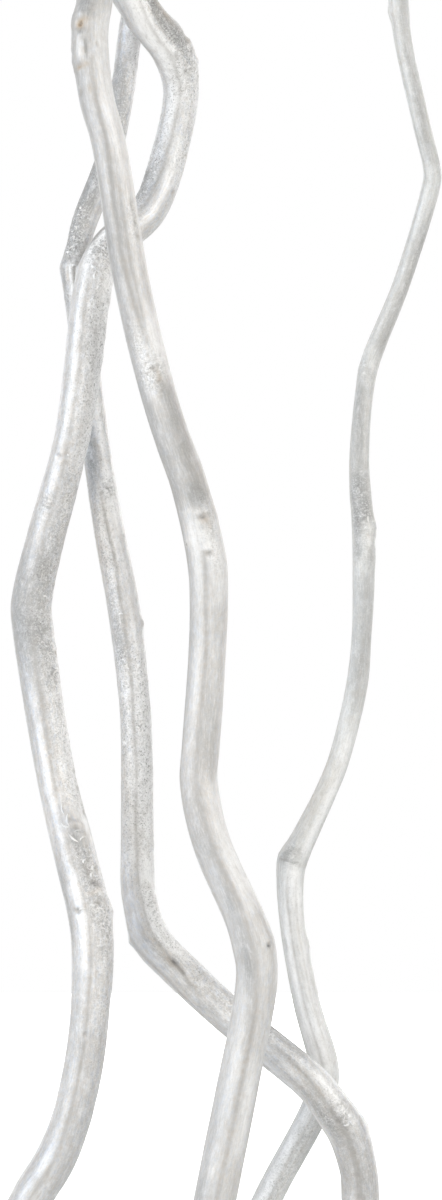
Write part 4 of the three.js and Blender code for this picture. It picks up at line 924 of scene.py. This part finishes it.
def vase_profile():
    foot = [(FOOT_RADIUS * part, 0) for part in (0.3, 0.7, 0.97)]
    foot += [(FOOT_RADIUS + CORNER * math.sin(a), CORNER - CORNER * math.cos(a))
             for a in np.radians([15, 35, 55, 75])]
    shoulder = VASE_OUTLINE[-1][1]
    outer = [(outline_radius(h), h) for h in np.linspace(CORNER + 1, shoulder, OUTER_RINGS)]
    rim_radius = outline_radius(shoulder) - WALL / 2
    rim = [(rim_radius + WALL / 2 * math.cos(a), shoulder + (VASE_HEIGHT - shoulder) * math.sin(a))
           for a in np.radians(np.arange(10, 180, 10))]
    inner = [(outline_radius(h) - WALL, h) for h in np.linspace(shoulder, FLOOR + 2, INNER_RINGS)]
    floor = [(outline_radius(FLOOR) - WALL - 2, FLOOR), (20, FLOOR), (5, FLOOR)]
    return foot + outer + rim + inner + floor


def vase_throwing(points):
    """Slight unevenness that a turned clay wall keeps."""
    radius = np.linalg.norm(points[..., :2], axis=2, keepdims=True)
    turns = np.arctan2(points[..., 1], points[..., 0]) / (2 * math.pi)
    height = np.clip(points[..., 2], 0, None)
    swell = 0.12 * lattice_noise(turns, height / 9, 4, 71) + 0.05 * lattice_noise(turns, height / 2.5, 7, 72)
    fade = np.clip(height / 12, 0, 1)
    points[..., :2] *= 1 + (swell * fade)[..., None] / np.maximum(radius, 1)
    return points


def sand_lift(points):
    """Heaps the sand's top, with low ripples and loose grains."""
    x, y, z = points[..., 0], points[..., 1], points[..., 2]
    out = np.hypot(x, y)
    heap = SAND_HEAP * np.cos(math.pi / 2 * np.minimum(1, out / FOOT_RADIUS))
    ripple = SAND_RIPPLE * np.sin(x * 0.21 + 0.7) * np.cos(y * 0.17 - x * 0.08)
    grains = np.random.default_rng(91).uniform(-1, 1, x.shape)
    turns = np.arctan2(y, x) / (2 * math.pi)
    lumps = lattice_noise(turns, out / 2.2, 40, 92)
    top = z > SAND_TOP - 0.01
    points[..., 2] = np.where(top, z + heap + ripple + SAND_LUMPS * lumps + SAND_GRAINS * grains, z)
    return points


def sand_profile():
    side = [(outline_radius(h) - WALL - CLEARANCE, h)
            for h in np.linspace(FLOOR + CLEARANCE + 2, SAND_TOP - 0.5, SAND_SIDE_RINGS)]
    edge = outline_radius(SAND_TOP) - WALL - CLEARANCE
    top = [(r, SAND_TOP) for r in np.linspace(edge - 0.3, 0.7, SAND_TOP_RINGS)]
    floor = [(8, FLOOR + CLEARANCE), (side[0][0] - 2, FLOOR + CLEARANCE)]
    return floor + side + top


# Materials

# Colours are red, green and blue, each from 0 to 1
WHITE = (1, 1, 1)


class Nodes:
    """A node tree, built by short calls."""

    def __init__(self, tree):
        self.tree = tree
        tree.nodes.clear()

    def feed(self, socket, value):
        """Links or sets a socket. A colour is given as three numbers."""
        if isinstance(value, bpy.types.NodeSocket):
            self.tree.links.new(value, socket)
        else:
            socket.default_value = value + (1,) if socket.type == "RGBA" else value

    def add(self, kind, **inputs):
        node = self.tree.nodes.new(kind)
        for key, value in inputs.items():
            self.feed(node.inputs[key.replace("_", " ")], value)
        return node

    def attribute(self, name, vector=False):
        node = self.tree.nodes.new("ShaderNodeAttribute")
        node.attribute_name = name
        return node.outputs["Vector" if vector else "Fac"]

    def position(self):
        return self.tree.nodes.new("ShaderNodeTexCoord").outputs["Object"]

    def vector(self, operation, a, b=None, result="Vector"):
        node = self.tree.nodes.new("ShaderNodeVectorMath")
        node.operation = operation
        self.feed(node.inputs[0], a)
        if b is not None:
            self.feed(node.inputs["Scale" if operation == "SCALE" else 1], b)
        return node.outputs[result]

    def scaled(self, vector, scale):
        return self.vector("MULTIPLY", vector, scale)

    def noise(self, vector, scale, detail=3.0, rough=0.55):
        facts = dict(Vector=vector, Scale=scale, Detail=detail, Roughness=rough)
        return self.add("ShaderNodeTexNoise", **facts).outputs["Fac"]

    def math(self, operation, a, b=0.0, clamp=False):
        node = self.tree.nodes.new("ShaderNodeMath")
        node.operation = operation
        node.use_clamp = clamp
        self.feed(node.inputs[0], a)
        self.feed(node.inputs[1], b)
        return node.outputs[0]

    def times(self, a, b):
        return self.math("MULTIPLY", a, b, clamp=True)

    def span(self, value, low, high, to_low=0.0, to_high=1.0):
        node = self.tree.nodes.new("ShaderNodeMapRange")
        for key, number in zip(("Value", "From Min", "From Max", "To Min", "To Max"),
                               (value, low, high, to_low, to_high)):
            self.feed(node.inputs[key], number)
        return node.outputs[0]

    def parts(self, colour):
        """A colour's three parts, each of them a number of its own."""
        node = self.tree.nodes.new("ShaderNodeSeparateColor")
        self.feed(node.inputs[0], colour)
        return node.outputs

    def mix(self, factor, a, b):
        node = self.tree.nodes.new("ShaderNodeMix")
        node.data_type = "RGBA"
        for key, value in zip(("Factor", "A", "B"), (factor, a, b)):
            self.feed(node.inputs[key], value)
        return node.outputs["Result"]

    def layers(self, colour, paints):
        """Paints over a colour, one after the other: each is the mask that shows it, and its colour."""
        for mask, paint in paints:
            colour = self.mix(mask, colour, paint)
        return colour

    def bump(self, height, distance, strength=1.0, normal=None):
        node = self.add("ShaderNodeBump", Height=height, Distance=distance, Strength=strength)
        if normal is not None:
            self.feed(node.inputs["Normal"], normal)
        return node.outputs[0]


def new_material(name):
    """A material with one shader: gives it, its node tree and the shader's inputs."""
    material = bpy.data.materials.new(name)
    material.use_nodes = True
    n = Nodes(material.node_tree)
    shader = n.add("ShaderNodeBsdfPrincipled")
    output = n.add("ShaderNodeOutputMaterial")
    n.feed(output.inputs["Surface"], shader.outputs[0])
    return material, n, shader.inputs


def tinted(colour, factors):
    """A colour made lighter or darker, as a whole or part by part."""
    return tuple(np.multiply(colour, factors).tolist())


def coat_material(name, light, shade, metallic, roughness, flakes, lines, film, blotch):
    """Painted bark: streaks along the stem, painted shade in the grooves, painted highlights and shade along
    the tone lines, ochre scars, specks and glitter.
    """
    material, n, shader = new_material(name)
    place = n.attribute("unrolled", vector=True)
    hollow_dirt_and_shade, scar, rough, tone, creased, pit_shadow = (
        n.attribute(key) for key in ("hollow_dirt_and_shade", "scar", "rough", "tone", "creased", "pit_shadow"))
    grainy = n.math("ADD", n.times(rough, 0.75), 0.1)
    cells = n.add("ShaderNodeTexVoronoi", Vector=place, Scale=3.2).outputs["Color"]

    # Noises, of several sizes and stretched along the stem or across it
    cloud = n.noise(place, 0.55, 4, 0.6)
    speckle = n.noise(place, 2.6, 2, 0.75)
    clump = n.noise(place, 1.15, 3, 0.7)
    swirl = n.noise(place, 1.1, 1)
    streak = n.noise(n.scaled(place, (1, 1, 0.06)), 0.9, 4)
    warmth = n.noise(n.scaled(place, (1, 1, 0.25)), 0.12, 3)
    tint = n.noise(n.scaled(place, (1, 1, 0.5)), 1.3, 2)
    mottle = n.noise(n.scaled(place, (1, 1, 0.6)), 0.42, 3, 0.6)
    fibre = n.noise(n.scaled(place, (1, 1, 0.14)), 2.6, 3, 0.65)
    across = n.noise(n.scaled(place, (0.5, 0.5, 1.8)), 1.0, 2)

    # The coat itself, with its films, blotches and tones: the tones are partly the coat's own, partly
    # painted highlights and painted shade
    colour = n.mix(n.span(streak, 0.36, 0.64), shade, light)
    warm_film = n.times(n.span(tint, 0.5, 0.68), n.span(hollow_dirt_and_shade, 0.1, 0.7, 0.15 * film, 0.6))
    colour = n.layers(colour, [
        (n.span(warmth, 0.52, 0.68, 0, 0.5), tinted(light, (1.03, 0.985, 0.94))),
        (n.span(warmth, 0.46, 0.32, 0, 0.5), tinted(light, (0.96, 0.985, 1.02))),
        (warm_film, (0.62, 0.52, 0.42)),
        (n.span(tint, 0.47, 0.34, 0, 0.25 * film), (0.56, 0.61, 0.70)),
        # Darker and lighter along the tone lines: painted shade and painted highlights, partly the coat's
        # uneven tone
        (n.span(tone, 0, -1.3, 0, 0.92), (0.28, 0.28, 0.275)),
        (n.span(tone, 0, 1.1, 0, 0.96), (1, 1, 0.99)),
        (n.span(mottle, 0.48, 0.32, 0, 0.4 * blotch), tinted(shade, (0.84, 0.80, 0.75))),
        (n.span(mottle, 0.5, 0.7, 0, 0.35 * blotch), (0.93, 0.935, 0.945)),
        (n.span(fibre, 0.5, 0.34, 0, 0.2), tinted(shade, 0.66)),
        (n.span(fibre, 0.5, 0.66, 0, 0.2), (1, 1, 0.99)),
    ])

    # Creases across the stem, with painted shade in their valleys and beside the curls and painted highlight
    # on their crests; grain and dust
    curl = n.span(n.math("ABSOLUTE", n.math("SUBTRACT", swirl, 0.52)), 0.005, 0.03, 1, 0)
    dusty = n.math("ADD", grainy, n.span(tone, -0.5, -1.3, 0, 0.5), clamp=True)
    colour = n.layers(colour, [
        (n.times(where, mask), paint) for where, mask, paint in (
            # Painted shade in the creases' valleys and beside the curls, painted highlight on their crests
            # and on the curls
            (creased, n.span(across, 0.5, 0.36, 0, 0.75), tinted(shade, 0.6)),
            (creased, n.span(across, 0.5, 0.62, 0, 0.6), WHITE),
            (creased, n.span(swirl, 0.50, 0.44, 0, 0.85), tinted(shade, 0.42)),
            (creased, curl, WHITE),
            (grainy, n.span(clump, 0.5, 0.36, 0, 0.6), tinted(shade, 0.72)),
            (grainy, n.span(clump, 0.52, 0.64, 0, 0.6), (0.95, 0.95, 0.945)),
            (grainy, n.span(speckle, 0.5, 0.34, 0, 0.55), tinted(shade, 0.6)),
            (grainy, n.span(speckle, 0.52, 0.64, 0, 0.7), WHITE),
            (dusty, n.span(n.parts(cells)[1], 0.94, 0.95, 0, 0.7), (0.27, 0.26, 0.25)),
        )
    ])

    # Painted shade in the grooves and pits (partly a dirty film in the creases), ochre scars, and painted
    # shadow in the pits' cores
    ochre = n.times(scar, n.span(cloud, 0.35, 0.6, 0.5, 1.2))
    colour = n.layers(colour, [
        # painted shade in the grooves and pits, partly a dirty film in the creases
        (n.times(hollow_dirt_and_shade, n.span(cloud, 0.3, 0.7, 0.45, 0.85)), (0.39, 0.375, 0.355)),
        (ochre, (0.47, 0.365, 0.25)),
        (n.span(ochre, 0.6, 1, 0, 0.75), (0.20, 0.15, 0.11)),
        # painted shadow in the pits' cores
        (n.times(pit_shadow, 0.8), (0.12, 0.12, 0.14)),
    ])
    n.feed(shader["Base Color"], colour)

    # Less metal where ochre lies or where the tone lightens the coat, partly a painted highlight
    covered = n.math("ADD", ochre, n.span(tone, 0, 1, 0, 0.8), clamp=True)
    n.feed(shader["Metallic"], n.times(n.math("SUBTRACT", 1, covered), metallic))
    worn = n.span(cloud, 0.3, 0.7, roughness - 0.05, roughness + 0.05)
    dull = n.math("ADD", n.times(rough, 0.12), n.span(tone, 0, -1, 0, 0.2))
    n.feed(shader["Roughness"], n.math("ADD", worn, dull))
    shader["Specular IOR Level"].default_value = 0.5

    normal = n.bump(streak, lines * MM, 0.5)
    for height, deep, strength in (
            (across, 0.4, n.times(creased, 0.8)), (curl, 0.3, n.times(creased, 0.8)),
            (clump, 0.35, n.times(rough, 0.7)), (speckle, 0.16, n.math("ADD", n.times(rough, 0.6), 0.12))):
        normal = n.bump(height, deep * MM, strength, normal)
    tilt = n.vector("SUBTRACT", cells, (0.5, 0.5, 0.5))
    amount = n.math("MULTIPLY", n.math("ADD", rough, 0.25), flakes)
    normal = n.vector("ADD", normal, n.vector("SCALE", tilt, amount))
    n.feed(shader["Normal"], n.vector("NORMALIZE", normal))
    return material


def vase_material():
    """Unglazed off-white stoneware: soft mottling, fine dark specks and faint turning lines."""
    material, n, shader = new_material("vase_ceramic")
    place = n.position()
    mottle = n.noise(place, 22, 5)
    fine = n.noise(place, 420, 3)
    rings = n.noise(n.scaled(place, (4, 4, 260)), 1.0, 3)
    colour = n.mix(n.span(mottle, 0.3, 0.7), (0.70, 0.665, 0.60), (0.80, 0.775, 0.725))
    dots = n.add("ShaderNodeTexVoronoi", Vector=place, Scale=260).outputs["Distance"]
    few = n.times(n.span(dots, 0.16, 0.10), n.span(n.noise(place, 90, 1), 0.56, 0.62))
    n.feed(shader["Base Color"], n.layers(colour, [
        (n.span(rings, 0.4, 0.62, 0, 0.18), (0.64, 0.60, 0.53)),
        (n.times(few, 0.7), (0.30, 0.24, 0.18)),
    ]))
    n.feed(shader["Roughness"], n.span(fine, 0.3, 0.7, 0.55, 0.75))
    turning = n.bump(rings, 0.5 * MM, 0.35)
    n.feed(shader["Normal"], n.bump(fine, 0.15 * MM, 0.4, turning))
    return material


def sand_material():
    """Dry sand: grains of several light and dark shades."""
    material, n, shader = new_material("sand")
    place = n.position()
    cells = n.add("ShaderNodeTexVoronoi", Vector=place, Scale=1500)
    shade = n.parts(cells.outputs["Color"])
    colour = n.mix(shade[0], (0.48, 0.40, 0.30), (0.80, 0.73, 0.60))
    n.feed(shader["Base Color"], n.layers(colour, [
        (n.span(shade[1], 0.86, 0.9), (0.22, 0.17, 0.13)),
        (n.span(n.noise(place, 40, 3), 0.45, 0.7, 0, 0.35), (0.50, 0.43, 0.33)),
    ]))
    n.feed(shader["Roughness"], n.span(shade[2], 0, 1, 0.75, 0.98))
    n.feed(shader["Normal"], n.bump(cells.outputs["Distance"], 0.5 * MM, 0.7))
    return material


# The pieces

COATS = {
    "silver_coat": coat_material(
        "silver_coat", (0.735, 0.73, 0.72), (0.635, 0.63, 0.62),
        metallic=0.45, roughness=0.4, flakes=0.3, lines=0.16, film=2, blotch=1),
    "pearl_coat": coat_material(
        "pearl_coat", (0.665, 0.655, 0.637), (0.59, 0.58, 0.562),
        metallic=0.22, roughness=0.5, flakes=0.06, lines=0.08, film=1.2, blotch=0.5),
    "grey_pearl_coat": coat_material(
        "grey_pearl_coat", (0.69, 0.695, 0.675), (0.60, 0.605, 0.59),
        metallic=0.22, roughness=0.48, flakes=0.06, lines=0.08, film=0.8, blotch=0.6),
}


def place_piece(piece, node, slot, material):
    piece.data.materials.append(material)
    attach(piece, "root")
    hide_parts(node)


stems = []
for stem_name, stem_facts in STEMS.items():
    coat = stem_facts["coat"]
    look = stem_facts.get("look", coat)
    stems.append(make_stem(stem_name, stem_facts))
    place_piece(stems[-1], stem_name, coat, COATS[look])

vase = turned("vase_body", vase_profile(), VASE_SEGMENTS, vase_throwing)
place_piece(vase, "vase", "vase_ceramic", vase_material())

sand = turned("sand_heap", sand_profile(), SAND_SEGMENTS, sand_lift)
place_piece(sand, "sand_fill", "sand", sand_material())


# Floor, light and camera

def make_floor():
    angle = np.arange(GROUND_SIDES) * 2 * math.pi / GROUND_SIDES
    x, y = GROUND_RADIUS * np.cos(angle), GROUND_RADIUS * np.sin(angle)
    floor = make_object("floor", np.stack([x, y, 0 * angle - GROUND_DROP], 1), [list(range(GROUND_SIDES))])
    material, n, shader = new_material("pale_floor")
    tone = n.noise(n.position(), 2.0, 2)
    n.feed(shader["Base Color"], n.mix(tone, (0.85, 0.85, 0.845), (0.88, 0.88, 0.875)))
    shader["Roughness"].default_value = 0.9
    n.feed(shader["Emission Color"], WHITE)
    reach = n.vector("LENGTH", n.position(), result="Value")
    n.feed(shader["Emission Strength"], n.span(reach, GLOW_NEAR, GLOW_FAR, 0, GLOW))
    floor.data.materials.append(material)


def make_lamp(name, place, size, power, stems_alone):
    light = bpy.data.lights.new(name, "AREA")
    light.shape = "RECTANGLE"
    light.size, light.size_y = size
    light.energy = power
    lamp = bpy.data.objects.new(name, light)
    lamp.location = place
    lamp.rotation_euler = (Vector(VIEW_CENTRE) * MM - Vector(place)).to_track_quat("-Z", "Y").to_euler()
    lamp.visible_camera = False
    bpy.context.scene.collection.objects.link(lamp)
    if stems_alone:
        lit = bpy.data.collections.new(name + "_lights")
        for stem in stems:
            lit.objects.link(stem)
        lamp.light_linking.receiver_collection = lit


def make_world():
    """White as it is seen. As light it is softer, with tall bright panels round the object."""
    world = bpy.data.worlds.new("studio")
    bpy.context.scene.world = world
    world.use_nodes = True
    n = Nodes(world.node_tree)
    way = n.add("ShaderNodeTexCoord").outputs["Generated"]
    room = n.span(n.vector("DOT_PRODUCT", way, (0, 1, 0), "Value"), -0.7, 0.7, ROOM_FRONT, ROOM_BACK)
    light = n.vector("SCALE", (1, 1, 1), room)
    for azimuth, half_width, colour in PANELS:
        turn = math.radians(azimuth)
        lift = math.radians(PANEL_LIFT)
        facing = (math.sin(turn) * math.cos(lift), -math.cos(turn) * math.cos(lift), math.sin(lift))
        across = (math.cos(turn), math.sin(turn), 0)
        upright = tuple(np.cross(facing, across))
        inside = n.span(n.vector("DOT_PRODUCT", way, facing, "Value"), 0, 0.1)
        for axis, half in ((across, half_width), (upright, PANEL_HALF_HEIGHT)):
            reach = math.sin(math.radians(half))
            off = n.math("ABSOLUTE", n.vector("DOT_PRODUCT", way, axis, "Value"))
            inside = n.times(inside, n.span(off, 1.15 * reach, 0.75 * reach))
        light = n.vector("ADD", light, n.vector("SCALE", colour, inside))
    lit = n.add("ShaderNodeBackground", Color=light)
    seen = n.add("ShaderNodeBackground", Color=WHITE)
    mix = n.add("ShaderNodeMixShader")
    camera_ray = n.add("ShaderNodeLightPath").outputs["Is Camera Ray"]
    for socket, source in zip(mix.inputs, (camera_ray, lit.outputs[0], seen.outputs[0])):
        n.feed(socket, source)
    n.add("ShaderNodeOutputWorld", Surface=mix.outputs[0])


def make_camera():
    data = bpy.data.cameras.new("camera")
    data.lens = LENS
    data.sensor_width = SENSOR
    data.sensor_fit = "AUTO"
    data.clip_end = CLIP_END
    camera = bpy.data.objects.new("camera", data)
    distance = LENS / SENSOR * VIEW_HEIGHT
    camera.location = (np.array(VIEW_CENTRE) - np.array([0, distance, 0])) * MM
    camera.rotation_euler = (math.pi / 2, 0, 0)
    bpy.context.scene.collection.objects.link(camera)
    bpy.context.scene.camera = camera


make_floor()
make_world()
for lamp_name, lamp_facts in LAMPS.items():
    make_lamp(lamp_name, *lamp_facts)
make_camera()
bpy.context.scene.view_settings.view_transform = "Standard"
bpy.context.scene.view_settings.look = "None"
